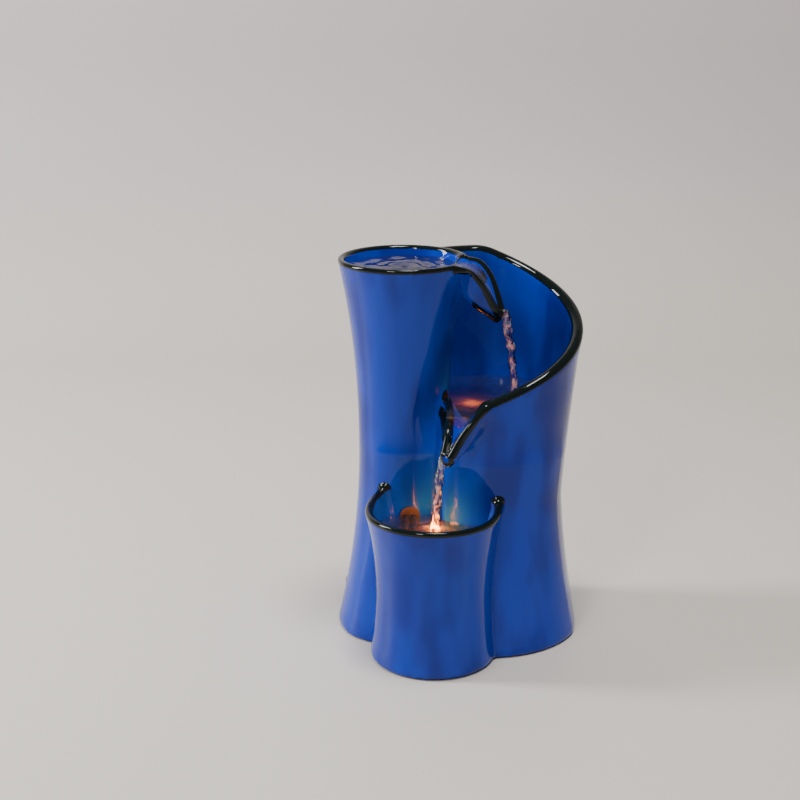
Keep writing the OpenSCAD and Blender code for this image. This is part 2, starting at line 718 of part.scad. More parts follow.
module at_cup_lamp() { at_origin() translate([lamp_x, lamp_y, cup_lamp_z - lamp_h]) children(); }
module at_pool_lamp() { at_origin() translate([pool_lamp_x, pool_lamp_y, middle_floor_z + 0.5]) children(); }

module cup_lamp_case() { color("#e9e7e1") at_cup_lamp() lamp_case(cup_lamp_r); }
module cup_lamp_board() { color("#f4f4f0") at_cup_lamp() lamp_board(cup_lamp_r, 4); }
module cup_lamp_lens() { color("#ffd27a", 0.5) at_cup_lamp() lamp_lens(cup_lamp_r); }
module cup_lamp_bracket() {
    base = pump_z + pump_h;
    color("#1c1d20") at_origin() translate([lamp_x, lamp_y, base]) {
        translate([-5, -3, 0]) cube([6.5, 6, 1.6]);
        cylinder(r = 2.4, h = cup_lamp_z - lamp_h - base);
        translate([0, 0, cup_lamp_z - lamp_h - base - 2]) cylinder(r = 6, h = 2);
    }
}
module pool_lamp_case() {
    color("#e9e7e1") at_pool_lamp() {
        lamp_case(pool_lamp_r);
        translate([0, 0, -floor_t - 4]) cylinder(r = pool_stem_r, h = floor_t + 4 + slice);
    }
}
module pool_lamp_board() { color("#f4f4f0") at_pool_lamp() lamp_board(pool_lamp_r, 3); }
module pool_lamp_lens() { color("#ffd27a", 0.5) at_pool_lamp() lamp_lens(pool_lamp_r); }
module floor_gland() {
    color("#151515") at_origin() translate([pool_lamp_x, pool_lamp_y, middle_floor_z - floor_t - 1.5])
        difference() {
            union() {
                cylinder(r = floor_gland_r, h = floor_t + 1.5);
                cylinder(r = floor_gland_r + 2, h = 1.5);
            }
            translate([0, 0, -1]) cylinder(r = pool_stem_r, h = floor_t + 4);
        }
}

// ---------------------------------------------------------------- power
inlet_depth = 9;
inlet_in = grommet_in(inlet_z, inlet_flange_r);
inlet_back = inlet_in - 6;
socket_bore = 2.8;
module power_inlet() {
    face = inlet_seat + gasket_t + 2;
    color("#17181a") at_origin() through_wall(inlet_ang, inlet_z) difference() {
        union() {
            translate([0, 0, inlet_back]) cylinder(r = inlet_r, h = face - inlet_back);
            translate([0, 0, inlet_seat + gasket_t]) cylinder(r = inlet_flange_r, h = 2);
        }
        translate([0, 0, face - inlet_depth]) cylinder(r = socket_bore, h = inlet_depth + 1);
        translate([0, 0, inlet_back - 1]) cylinder(r = 1, h = face - inlet_back);
    }
}
module inlet_pin() {
    face = inlet_seat + gasket_t + 2;
    color("gold") at_origin() through_wall(inlet_ang, inlet_z)
        translate([0, 0, inlet_back + 1]) cylinder(r = 1, h = face - inlet_back - 3);
}
module inlet_gasket() {
    color("#111111") at_origin() through_wall(inlet_ang, inlet_z)
        translate([0, 0, inlet_seat]) difference() {
            cylinder(r = inlet_flange_r, h = gasket_t);
            translate([0, 0, -1]) cylinder(r = inlet_r, h = gasket_t + 2);
        }
}
module inlet_nut() {
    color("silver") at_origin() through_wall(inlet_ang, inlet_z)
        translate([0, 0, inlet_in - 3]) difference() {
            cylinder(r = inlet_flange_r, h = 3, $fn = 6);
            translate([0, 0, -1]) cylinder(r = inlet_r, h = 5);
        }
}

block_at = [4, 14];
block_size = [18, 12, 9];
module splice_block() {
    color("#f0efe8") at_origin() translate([block_at[0], block_at[1], slab_top])
        translate([-block_size[0] / 2, -block_size[1] / 2, 0]) cube(block_size);
}

// Leads: the points are chosen so that each clears the hose, the pump and the clay.
function at_wall(angle, s, y, z) =
    [s * cos(angle) - y * sin(angle), s * sin(angle) + y * cos(angle), z];
lead_in_s = grommet_in(lead_hole_z, 7.5) - grommet_flange - 1;
lead_out_s = grommet_out(lead_hole_z, 7.5) + grommet_flange + 2;
block_left = [block_at[0] - block_size[0] / 2, block_at[1] + 2, slab_top + 6];
block_front = [block_at[0], block_at[1] - block_size[1] / 2, slab_top + 5];
block_right = [block_at[0] + block_size[0] / 2, block_at[1], slab_top + 5];
module pump_lead() {
    start = [pump_x + cap_lead[0], pump_y + cap_front, pump_z + cap_lead[1]];
    color("#111111") at_origin() lead([
        start, start + [0, cap_l + 2, 0], [14, -50, 46], [4, -47, 51], [-3, -46, 62], [-3, -44, 74],
        at_wall(hose_ang, lead_out_s + 3.5, -lead_pitch, lead_hole_z - 9),
        at_wall(hose_ang, lead_out_s, -lead_pitch, lead_hole_z),
        at_wall(hose_ang, lead_in_s, -lead_pitch, lead_hole_z),
        [-5, -19, 90], [-13, -10, 74], [-15, -2, 50], block_front + [-8, -6, 14],
        block_front + [-4, -3, 1], block_front + [-4, 0, 0]], lead_r);
}
module cup_lamp_lead() {
    start = [lamp_x - cup_lamp_r + 1, lamp_y + 2, cup_lamp_z - 4];
    color("#111111") at_origin() lead([
        start, start + [-3, 2, 0], [9.5, -49, cup_lamp_z - 2],
        at_wall(hose_ang, lead_out_s + 3, lead_pitch, lead_hole_z - 1),
        at_wall(hose_ang, lead_out_s, lead_pitch, lead_hole_z),
        at_wall(hose_ang, lead_in_s, lead_pitch, lead_hole_z),
        [11, -17, 90], [14, -9, 72], [14, -3, 46], block_front + [7, -6, 14],
        block_front + [4, -3, 1], block_front + [4, 0, 0]], lead_r);
}
module pool_lamp_lead() {
    start = [pool_lamp_x, pool_lamp_y, middle_floor_z - floor_t - 3.5];
    color("#111111") at_origin() lead([
        start, start + [0, 0, -8], [49, -20, 110], [50, -18, 76], [51, -6, 50],
        [tower_r(side_hole_z) + 5, 0, side_hole_z], [tower_r(side_hole_z) - 8, 0, side_hole_z],
        [24, 8, 24], block_right + [5, 0, 1], block_right], lead_r);
}
module inlet_lead() {
    color("#111111") at_origin() lead([
        block_left, block_left + [-5, 0, 1],
        at_wall(inlet_ang, inlet_back - 5, 0, inlet_z - 1),
        at_wall(inlet_ang, inlet_back, 0, inlet_z)], lead_r);
}

tower_column();
scroll_wall();
catch_cup();
upper_basin_floor();
middle_basin_floor();
upper_spout();
middle_spout();
foot_slab();
rubber_feet();
pump_housing();
pump_front_cover();
flow_slider();
volute_cover();
impeller_wheel();
rotor_magnet();
rotor_shaft();
shaft_bushings();
stator_core();
stator_coil();
pump_rear_cap();
suction_feet();
riser_hose();
hose_clamp();
hose_grommet();
lead_grommet();
side_bush();
outlet_fitting();
fitting_gasket();
fitting_nut();
cup_lamp_case();
cup_lamp_board();
cup_lamp_lens();
cup_lamp_bracket();
pool_lamp_case();
pool_lamp_board();
pool_lamp_lens();
floor_gland();
power_inlet();
inlet_pin();
inlet_gasket();
inlet_nut();
splice_block();
pump_lead();
cup_lamp_lead();
pool_lamp_lead();
inlet_lead();
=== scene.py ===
"""A tabletop water fountain of glazed clay: a tower, a scroll wall and a cup, each a basin that
pours into the next, with a small pump, a riser hose, two underwater lamps and their leads.

Lengths are in metres. Shapes are worked out from the tower's axis and then set in the frame.
"""

import math
from functools import lru_cache

import bpy
import numpy as np
import openvdb
from bpy.props import FloatProperty, FloatVectorProperty, PointerProperty
from bpy.types import Operator, Panel, PropertyGroup
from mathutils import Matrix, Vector


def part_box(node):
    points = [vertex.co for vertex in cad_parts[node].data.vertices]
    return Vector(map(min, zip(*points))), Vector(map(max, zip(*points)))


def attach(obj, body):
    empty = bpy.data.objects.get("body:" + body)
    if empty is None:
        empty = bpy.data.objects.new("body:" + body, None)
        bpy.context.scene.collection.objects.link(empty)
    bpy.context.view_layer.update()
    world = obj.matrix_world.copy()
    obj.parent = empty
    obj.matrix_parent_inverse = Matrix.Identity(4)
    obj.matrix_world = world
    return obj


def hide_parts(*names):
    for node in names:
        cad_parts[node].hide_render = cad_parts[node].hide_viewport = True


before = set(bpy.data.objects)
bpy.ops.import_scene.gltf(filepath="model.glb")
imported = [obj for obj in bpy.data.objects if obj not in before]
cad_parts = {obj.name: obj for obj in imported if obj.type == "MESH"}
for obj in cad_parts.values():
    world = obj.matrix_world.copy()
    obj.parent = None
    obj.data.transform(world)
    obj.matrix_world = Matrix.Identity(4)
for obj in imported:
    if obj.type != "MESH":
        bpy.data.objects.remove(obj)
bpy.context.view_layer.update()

bl_info = {
    "name": "Tabletop Water Fountain",
    "version": (1, 0, 0),
    "blender": (4, 5, 0),
    "location": "View3D > Sidebar > Fountain",
    "description": "Glazed clay fountain with three basins, falling water, lamps and a pump",
    "category": "Add Mesh",
}

MM = 0.001


def middle_of(node):
    """The middle of a CAD node's box."""
    low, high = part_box(node)
    return np.array((low + high) / 2)


TOWER_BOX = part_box("tower_column")
AXIS = middle_of("tower_column") * (1, 1, 0)


# ---------------------------------------------------------------- sizes and colours

def length(name, description, default):
    """A length in metres, or a row of them."""
    if isinstance(default, tuple):
        return FloatVectorProperty(
            name=name, description=description, default=default, size=len(default), unit="LENGTH")
    return FloatProperty(name=name, description=description, default=default, unit="LENGTH")


class ClaySizes(PropertyGroup):
    """Outlines of the three pots."""

    tower_h: length("Tower height", "From the table to the top of the tower's lip", TOWER_BOX[1].z)
    tower_radii: length("Tower radii", "Outer radius at the foot, the waist and the lip",
                        (49.5 * MM, 32.5 * MM, 47.3 * MM))
    tower_waist: length("Tower waist", "Height of the tower's waist", 134 * MM)
    tower_wall: length("Tower wall", "Thickness of the tower's clay", 5 * MM)
    scroll_across: length("Scroll distance", "From the tower's axis to the scroll's axis", 61.6 * MM)
    scroll_radii: length("Scroll radii", "Outer radius at the foot, the waist and the side of the rim",
                         (69.5 * MM, 55.9 * MM, 68.3 * MM))
    scroll_waist: length("Scroll waist", "Height of the scroll's waist", 106 * MM)
    scroll_wall: length("Scroll wall", "Thickness of the scroll's clay", 7 * MM)
    scroll_back: length("Rim at the back", "Height of the rim where the scroll leaves the tower", 275 * MM)
    scroll_front: length("Rim at the front", "Height of the rim at the shoulder of the middle spout",
                         190 * MM)
    cup_place: length("Cup place", "The cup's axis, to the right of and in front of the tower's",
                      (21.2 * MM, -61.7 * MM))
    cup_h: length("Cup height", "Height of the cup's lip at the front", 112 * MM)
    cup_radii: length("Cup radii", "Outer radius at the foot, the waist and the lip",
                      (45.2 * MM, 40.8 * MM, 48.4 * MM))
    cup_waist: length("Cup waist", "Height of the cup's waist", 50 * MM)
    cup_wall: length("Cup wall", "Thickness of the cup's clay", 5 * MM)
    cup_climb: length("Cup climb", "How far the cup's lip climbs where it meets its neighbours", 8 * MM)
    foot_gap: length("Foot gap", "Height of the clay's foot above the table", 1.2 * MM)
    grain: length("Grain", "Spacing of the grid that the clay's surface is worked out on", 1.25 * MM)
    fine_grain: length("Fine grain", "Spacing of the grid for spouts and water", 0.7 * MM)


class WaterLevels(PropertyGroup):
    """Where the water stands."""

    top: length("Top basin", "Height of the water in the tower", 273 * MM)
    middle: length("Middle basin", "Height of the water in the scroll", 177 * MM)
    cup: length("Catch cup", "Height of the water in the cup", 97 * MM)


def colour_property(name, description, default):
    """A colour shown as sRGB, with its hex value turned to linear for the default."""
    return FloatVectorProperty(
        name=name, description=description, default=linear(default), size=4, subtype="COLOR",
        min=0, max=1)


def linear(hex_colour):
    """An sRGB hex colour as linear RGBA."""
    parts = [int(hex_colour[i : i + 2], 16) / 255 for i in (1, 3, 5)]
    return tuple(c / 12.92 if c <= 0.04045 else ((c + 0.055) / 1.055) ** 2.4 for c in parts) + (1,)


class FountainColours(PropertyGroup):
    """Colours of the glaze, the light and the room."""

    glaze: colour_property("Glaze", "Cobalt glaze where it lies thick", "#0638b4")
    glaze_deep: colour_property("Deep glaze", "Cobalt glaze in its darker clouds", "#04248f")
    glaze_edge: colour_property("Glaze on edges", "Where the glaze thins on a lip", "#0b1512")
    lamp: colour_property("Lamps", "Light of the underwater lamps", "#ff7408")
    floor: colour_property("Floor", "Painted floor", "#ddd6cc")
    wall: colour_property("Backdrop", "Painted backdrop", "#cfc7c6")


class StageSizes(PropertyGroup):
    """Camera and room."""

    eye: FloatVectorProperty(
        name="Camera", description="Where the camera stands", size=3, unit="LENGTH",
        default=(-44.4 * MM, -1091.5 * MM, 505.5 * MM))
    dip: FloatProperty(
        name="Dip", description="How far the camera looks down", default=math.radians(16.3),
        subtype="ANGLE", unit="ROTATION")
    lens: FloatProperty(
        name="Lens", description="Focal length on a 36 mm wide sensor, in millimetres", default=71.3)
    shift: FloatVectorProperty(
        name="Shift", description="Lens shift, as a share of the frame", default=(0.00225, -0.0125), size=2)
    backdrop: length("Backdrop", "Distance of the backdrop behind the fountain", 1.1)


# ---------------------------------------------------------------- materials

def add_node(material, kind, inputs=None, **settings):
    """Adds a node with its settings; each input takes a value or another node's output."""
    node = material.node_tree.nodes.new(kind)
    for name, value in settings.items():
        setattr(node, name, value)
    for name, value in (inputs or {}).items():
        if isinstance(value, bpy.types.NodeSocket):
            material.node_tree.links.new(value, node.inputs[name])
        else:
            node.inputs[name].default_value = value
    return node


def new_material(name):
    """A material with an empty node tree."""
    material = bpy.data.materials.new(name)
    material.use_nodes = True
    material.node_tree.nodes.clear()
    return material


def finish_material(material, surface):
    """Links the last shader to the output."""
    add_node(material, "ShaderNodeOutputMaterial", {"Surface": surface})
    return material


def speckle(material, size, detail=3.0, stretch=(1, 1, 1)):
    """Noise whose blotches are about that size, as a 0 to 1 output."""
    place = add_node(material, "ShaderNodeTexCoord").outputs["Object"]
    mapped = add_node(material, "ShaderNodeMapping", {"Vector": place, "Scale": stretch})
    return add_node(
        material, "ShaderNodeTexNoise",
        {"Vector": mapped.outputs[0], "Scale": 1 / size, "Detail": detail}).outputs[0]


def between(material, factor, low, high, span=(0.0, 1.0)):
    """A colour between two, as a factor runs over a span."""
    share = add_node(
        material, "ShaderNodeMapRange", {"Value": factor, "From Min": span[0], "From Max": span[1]},
        interpolation_type="SMOOTHSTEP")
    return add_node(
        material, "ShaderNodeMix", {0: share.outputs[0], 6: low, 7: high}, data_type="RGBA").outputs[2]


def glazed_cobalt():
    """Cobalt glaze, poured over stoneware and fired: deep and wet-looking, its reflections broken
    by a slow ripple and a fine orange peel, and black-green where it thins on an edge."""
    colours = bpy.context.scene.fountain_colours
    m = new_material("glazed_cobalt")
    cloud = between(m, speckle(m, 28 * MM, 2.0, (1, 1, 0.35)),
                    tuple(colours.glaze_deep), tuple(colours.glaze), (0.35, 0.62))
    thin = add_node(m, "ShaderNodeAttribute", attribute_name="thin").outputs["Fac"]
    ragged = add_node(m, "ShaderNodeMath", {0: speckle(m, 2.2 * MM, 4.0), 1: 0.3, 2: thin},
                      operation="MULTIPLY_ADD").outputs[0]
    body = between(m, ragged, cloud, tuple(colours.glaze_edge), (0.3, 0.75))
    ripple = add_node(m, "ShaderNodeBump", {"Height": speckle(m, 9 * MM, 1.0, (1, 1, 0.6)),
                                            "Distance": 0.10 * MM}).outputs[0]
    peel = add_node(m, "ShaderNodeBump", {"Height": speckle(m, 1.6 * MM, 2.0), "Distance": 0.012 * MM,
                                          "Normal": ripple}).outputs[0]
    shader = add_node(m, "ShaderNodeBsdfPrincipled",
                      {"Base Color": body, "Roughness": 0.3, "IOR": 1.5, "Normal": peel,
                       "Specular IOR Level": 0.0, "Coat Weight": 1.0, "Coat Roughness": 0.03,
                       "Coat IOR": 1.38, "Coat Normal": peel})
    return finish_material(m, shader.outputs[0])


def fired_stoneware():
    """Stoneware, fired without glaze: pale buff, dry and sandy, with dark iron specks."""
    m = new_material("fired_stoneware")
    sand = between(m, speckle(m, 3 * MM, 6.0), linear("#a58c6c"), linear("#c9b494"), (0.35, 0.65))
    specks = between(m, speckle(m, 0.8 * MM, 1.0), sand, linear("#5d4630"), (0.68, 0.74))
    grit = add_node(m, "ShaderNodeBump", {"Height": speckle(m, 0.7 * MM, 4.0), "Distance": 0.12 * MM})
    shader = add_node(m, "ShaderNodeBsdfPrincipled",
                      {"Base Color": specks, "Roughness": 0.85, "Normal": grit.outputs[0]})
    return finish_material(m, shader.outputs[0])


def grained(name, dark, light, grain, depth, roughness, metallic=0.0, stretch=(1, 1, 1), **extra):
    """A surface with two close tones and a fine relief of one grain size."""
    m = new_material(name)
    noise = speckle(m, grain, 3.0, stretch)
    tone = between(m, noise, linear(dark), linear(light), (0.3, 0.7))
    bump = add_node(m, "ShaderNodeBump", {"Height": noise, "Distance": depth})
    shader = add_node(m, "ShaderNodeBsdfPrincipled",
                      {"Base Color": tone, "Roughness": roughness, "Metallic": metallic,
                       "Normal": bump.outputs[0], **extra})
    return finish_material(m, shader.outputs[0])


def pump_abs():
    """Black ABS, injection moulded: satin, with the fine spark-eroded grain of its mould."""
    return grained("moulded_black_abs", "#15161a", "#24262b", 0.5 * MM, 0.02 * MM, 0.42)


def white_acetal():
    """White acetal, injection moulded: smooth and slightly waxy."""
    return grained("moulded_white_acetal", "#dcdcd6", "#f0f0ea", 2 * MM, 0.01 * MM, 0.35,
                   **{"Subsurface Weight": 0.1, "Subsurface Radius": (MM, MM, MM)})


def moulded_rubber():
    """Nitrile rubber, compression moulded: dark, matt and faintly dusty."""
    return grained("moulded_rubber", "#1c1c1d", "#303031", 0.9 * MM, 0.04 * MM, 0.75)


def sintered_ferrite():
    """Ferrite, pressed and sintered: charcoal grey with a dull mineral sparkle."""
    return grained("sintered_ferrite", "#26282b", "#46484c", 0.3 * MM, 0.02 * MM, 0.5, 0.3)


def ground_alumina():
    """Alumina ceramic, ground: ivory, with fine rings round the rod."""
    return grained("ground_alumina", "#d8d2c0", "#efeadb", 0.4 * MM, 0.005 * MM, 0.25, 0.0, (1, 6, 1))


def stacked_steel():
    """Silicon steel sheets, stamped and stacked: grey metal with the lines of its laminations."""
    return grained("stacked_silicon_steel", "#6c6f73", "#a7aaad", 0.5 * MM, 0.05 * MM, 0.38, 1.0,
                   (0.1, 3, 0.1))


def wound_copper():
    """Enamelled copper wire, wound in layers: warm metal broken into fine turns."""
    return grained("wound_enamelled_copper", "#7a3a1c", "#c8763d", 0.45 * MM, 0.1 * MM, 0.32, 1.0,
                   (0.15, 0.15, 3))


def extruded_silicone():
    """Silicone hose, extruded: milky and soft, letting some light through."""
    return grained("extruded_silicone", "#c9cdca", "#e4e7e3", 3 * MM, 0.02 * MM, 0.35,
                   **{"Subsurface Weight": 0.3, "Subsurface Radius": (3 * MM, 3 * MM, 3 * MM)})


def brushed_stainless():
    """Stainless steel strip, brushed: bright, with hairlines round the band."""
    return grained("brushed_stainless", "#9da0a3", "#cfd1d3", 0.3 * MM, 0.01 * MM, 0.3, 1.0, (0.05, 0.05, 4))


def nickelled_brass():
    """Brass pin, turned and nickel plated: pale gold-grey and bright."""
    return grained("nickelled_brass", "#b7a77e", "#d9cda8", 0.4 * MM, 0.005 * MM, 0.22, 1.0)


def sheathed_pvc():
    """PVC lead, extruded: black and smooth with a soft shine."""
    return grained("extruded_pvc", "#141416", "#222226", 1.2 * MM, 0.01 * MM, 0.4)


def masked_board_painted_glow():
    """Circuit board under green solder mask, with the warm light of its chips painted onto it as a faint
    glow.
    """
    colours = bpy.context.scene.fountain_colours
    m = new_material("masked_circuit_board_painted_glow")
    tone = between(m, speckle(m, 1.2 * MM, 2.0), linear("#0f4a2b"), linear("#1a6a3e"), (0.4, 0.6))
    # Emission in lamp colour paints the chips' light onto the board: a painted glow on a part that is no
    # lamp.
    shader = add_node(m, "ShaderNodeBsdfPrincipled",
                      {"Base Color": tone, "Roughness": 0.3, "Emission Color": tuple(colours.lamp),
                       "Emission Strength": 1.5})
    return finish_material(m, shader.outputs[0])


def lamp_lens(name, strength):
    """Polycarbonate lens, moulded and frosted inside: a warm glow, brightest in its middle."""
    colours = bpy.context.scene.fountain_colours
    m = new_material(name)
    glow = between(m, speckle(m, 4 * MM, 1.0), tuple(colours.lamp), linear("#ffb01c"), (0.4, 0.6))
    shader = add_node(m, "ShaderNodeBsdfPrincipled",
                      {"Base Color": linear("#ffe3bd"), "Roughness": 0.3, "IOR": 1.58,
                       "Emission Color": glow, "Emission Strength": strength})
    return finish_material(m, shader.outputs[0])


def clear_water():
    """Clean water, moving: see-through, with sharp bright reflections and a trace of fine bubbles
    that catches the lamps' light."""
    m = new_material("clear_water")
    waves = add_node(m, "ShaderNodeBump", {"Height": speckle(m, 5 * MM, 2.0),
                                           "Distance": 0.35 * MM}).outputs[0]
    edge = add_node(m, "ShaderNodeFresnel", {"IOR": 1.5, "Normal": waves}).outputs[0]
    clear = add_node(m, "ShaderNodeBsdfTransparent", {"Color": linear("#d3d9ec")}).outputs[0]
    froth = add_node(m, "ShaderNodeAttribute", attribute_name="froth").outputs["Fac"]
    streaks = add_node(m, "ShaderNodeMapRange",
                       {"Value": speckle(m, 2.5 * MM, 2.0, (1, 1, 0.3)), "From Min": 0.48, "From Max": 0.62,
                        "To Min": 0.0, "To Max": 0.85}).outputs[0]
    share = add_node(m, "ShaderNodeMath", {0: froth, 1: streaks, 2: 0.025},
                     operation="MULTIPLY_ADD").outputs[0]
    haze = add_node(m, "ShaderNodeBsdfTranslucent", {"Color": linear("#fff6f0"), "Normal": waves}).outputs[0]
    foam = add_node(m, "ShaderNodeBsdfDiffuse", {"Color": linear("#ffffff")}).outputs[0]
    milky = add_node(m, "ShaderNodeMixShader", {0: 0.5, 1: haze, 2: foam}).outputs[0]
    body = add_node(m, "ShaderNodeMixShader", {0: share, 1: clear, 2: milky}).outputs[0]
    shine = add_node(m, "ShaderNodeBsdfGlossy", {"Roughness": 0.03, "Normal": waves}).outputs[0]
    return finish_material(m, add_node(m, "ShaderNodeMixShader", {0: edge, 1: body, 2: shine}).outputs[0])


def painted_stage():
    """Painted board, matt: even and pale, with a faint roller texture."""
    colours = bpy.context.scene.fountain_colours
    backdrop = bpy.context.scene.fountain_stage.backdrop
    m = new_material("painted_stage")
    place = add_node(m, "ShaderNodeTexCoord").outputs["Object"]
    height = add_node(m, "ShaderNodeSeparateXYZ", {"Vector": place}).outputs["Z"]
    paint = between(m, height, tuple(colours.floor), tuple(colours.wall), (0.02, 0.2 * backdrop))
    roller = add_node(m, "ShaderNodeBump", {"Height": speckle(m, 2.5 * MM, 2.0), "Distance": 0.01 * MM})
    shader = add_node(m, "ShaderNodeBsdfPrincipled",
                      {"Base Color": paint, "Roughness": 0.5, "Normal": roller.outputs[0]})
    return finish_material(m, shader.outputs[0])


# ---------------------------------------------------------------- clay, as distances to its surface

def clay_sizes():
    """The sizes that the pots are made to."""
    return bpy.context.scene.fountain_clay


def waisted(z, waist, foot, foot_power, lip_z, lip, lip_power):
    """Outer radius of a thrown pot at a height; waist is its height and radius."""
    below = np.clip((waist[0] - z) / waist[0], 0, None)
    above = np.clip((z - waist[0]) / (lip_z - waist[0]), 0, None)
    return waist[1] + (foot - waist[1]) * below**foot_power + (lip - waist[1]) * above**lip_power


def tower_r(z):
    """Outer radius of the tower at a height."""
    clay = clay_sizes()
    foot, waist, lip = clay.tower_radii
    return waisted(z, (clay.tower_waist, waist), foot, 1.9, clay.tower_h, lip, 2.25)


def scroll_r(z):
    """Outer radius of the scroll at a height."""
    clay = clay_sizes()
    foot, waist, side = clay.scroll_radii
    return waisted(z, (clay.scroll_waist, waist), foot, 1.5, 236 * MM, side, 1.25)


def cup_r(z):
    """Outer radius of the cup at a height."""
    clay = clay_sizes()
    foot, waist, lip = clay.cup_radii
    return waisted(z, (clay.cup_waist, waist), foot, 1.6, clay.cup_h, lip, 2.0)


def around(angle, radius):
    """x and y at an angle in degrees, as columns."""
    a = np.radians(angle)
    return np.stack([radius * np.cos(a), radius * np.sin(a)], -1)


def ease(t):
    """0 to 1, with a soft start and end."""
    t = np.clip(t, 0, 1)
    return t * t * (3 - 2 * t)


def wall_section(top, thickness, roll):
    """Rings of [inset from the outer face, height] for walls of those heights: over a tucked foot, up
    the outside, over a rolled lip and down the inside."""
    clay = clay_sizes()
    tuck, tuck_h = 1.3 * MM, 4.5 * MM
    radius = thickness / 2 + roll
    turn = np.radians(np.linspace(0, 90, 7))[:-1]
    foot_inset, foot_z = tuck * (1 - np.sin(turn)), clay.foot_gap + tuck_h * (1 - np.cos(turn))
    rise = np.linspace(0, 1, 110)
    low, high = clay.foot_gap + tuck_h, top[:, None] - radius
    z = low + (high - low) * rise
    swell = roll * np.exp(-(((high - z) / (2.2 * radius)) ** 2))
    over = np.radians(np.linspace(180, 0, 16))[1:-1]
    lip_inset = thickness / 2 + radius * np.cos(over)
    lip_z = high + radius * np.sin(over)
    n = len(top)
    flat = np.zeros((n, 1))
    inset = np.hstack([foot_inset + flat, -swell, lip_inset + flat,
                       thickness + swell[:, ::-1], thickness + np.zeros((n, 6))])
    height = np.hstack([foot_z + flat, z, lip_z, z[:, ::-1], foot_z[::-1] + flat])
    return inset, height


def skin(rings, closed):
    """Points and quads of a closed skin over rings of points; open ends are strips across the wall."""
    n, m = rings.shape[:2]
    i, j = np.meshgrid(np.arange(n if closed else n - 1), np.arange(m), indexing="ij")
    k, b = (j + 1) % m, (i + 1) % n
    quads = np.stack([i * m + j, i * m + k, b * m + k, b * m + j], -1).reshape(-1, 4)
    if not closed:
        j = np.arange(m // 2 - 1)
        cap = np.stack([j, m - 1 - j, m - 2 - j, j + 1], -1)
        quads = np.vstack([quads, cap, cap[:, ::-1] + (n - 1) * m])
    return rings.reshape(-1, 3), quads


def tower_skin():
    """The tower's wall, the whole way round."""
    clay = clay_sizes()
    turns = np.linspace(0, 360, 361)[:-1]
    inset, z = wall_section(np.full(len(turns), clay.tower_h), clay.tower_wall, 0.0)
    plan = around(turns[:, None] + 0 * z, tower_r(z) - inset)
    return skin(np.dstack([plan, z]), closed=True)


ROOM = 8 * MM                           # space left free round the clay in a grid
CORNER_R = 10 * MM                      # outer radius of the scroll's turn at the middle spout
TURN_IN = -118                          # direction its wall faces where that turn starts
KEY = 2 * MM                            # how deep one clay piece is let into the next
FALL_FROM, FALL_TO = 98, -93            # directions between which the scroll's rim falls
FALL_SOFT = 12                          # degrees over which the fall sets in
RIM_DIP = 5 * MM                        # how much lower the rim starts, behind the tower's lip
GAP_DEPTH, GAP_TURN = 26 * MM, 22       # how far the rim drops under the spout, in how many degrees
RETURN_RISE = 12 * MM                   # how far it rises again on its way to the tower


def touch_angle(z):
    """Direction of the line's normal that touches both the tower and the scroll, at the back."""
    clay = clay_sizes()
    return 90 + np.degrees(np.arcsin((scroll_r(z) - tower_r(z)) / clay.scroll_across))


def scroll_rim(part, t, angle):
    """Height of the scroll's rim: one long fall from the back, and low under the middle spout."""
    clay = clay_sizes()
    gap, drop = clay.scroll_front - GAP_DEPTH, clay.scroll_back - clay.scroll_front
    if part == "fairing":
        return clay.scroll_back - RIM_DIP * (1 - ease(t))
    if part == "round":
        x = np.clip(FALL_FROM - angle, 0, None)
        run = np.where(x < FALL_SOFT, x * x / (2 * FALL_SOFT), x - FALL_SOFT / 2)
        fall = clay.scroll_back - drop * run / (FALL_FROM - FALL_TO - FALL_SOFT / 2)
        notch = clay.scroll_front + (gap - clay.scroll_front) * ease((FALL_TO - angle) / GAP_TURN)
        return np.where(angle > FALL_TO, fall, notch)
    if part == "corner":
        return np.full(len(t), gap)
    return gap + RETURN_RISE * ease(t)


def scroll_skin():
    """The scroll's wall: a straight fairing from the tower, round its axis, in at the spout and back."""
    clay = clay_sizes()
    axis = np.array([clay.scroll_across, 0])
    rings = []
    for part, count in (("fairing", 28), ("round", 260), ("corner", 26), ("back", 14)):
        t = np.linspace(0, 1, count + 1)[(0 if part == "fairing" else 1):]
        start = touch_angle(clay.scroll_front)
        rim = scroll_rim(part, t, start + (TURN_IN - start) * t)
        inset, z = wall_section(rim, clay.scroll_wall, 0.9 * MM)
        t = t[:, None]
        touch = touch_angle(z)
        corner = axis + around(TURN_IN + 0 * z, scroll_r(z) - CORNER_R)
        if part == "fairing":
            thin = inset * (0.5 + 0.5 * np.clip(t * 2.5, 0, 1))
            near, far = around(touch, tower_r(z) - thin), axis + around(touch, scroll_r(z) - thin)
            plan = near + (far - near) * t[..., None]
        elif part == "round":
            plan = axis + around(touch + (TURN_IN - touch) * t, scroll_r(z) - inset)
        elif part == "corner":
            plan = corner + around(TURN_IN + (-180 - TURN_IN) * t, CORNER_R - inset)
        else:
            x = corner[..., 0] - CORNER_R
            end = -np.sqrt(np.clip((tower_r(z) - KEY) ** 2 - x**2, (5 * MM) ** 2, None))
            plan = np.stack([x + inset * (1 - 0.65 * t), corner[..., 1] + (end - corner[..., 1]) * t], -1)
        rings.append(np.dstack([plan, z]))
    return skin(np.vstack(rings), closed=False)


def meet_angle(d, r, other):
    """Angle at the middle of a circle of radius r from the other circle to where the two meet."""
    return np.degrees(np.arccos((d * d + r * r - other * other) / (2 * d * r)))


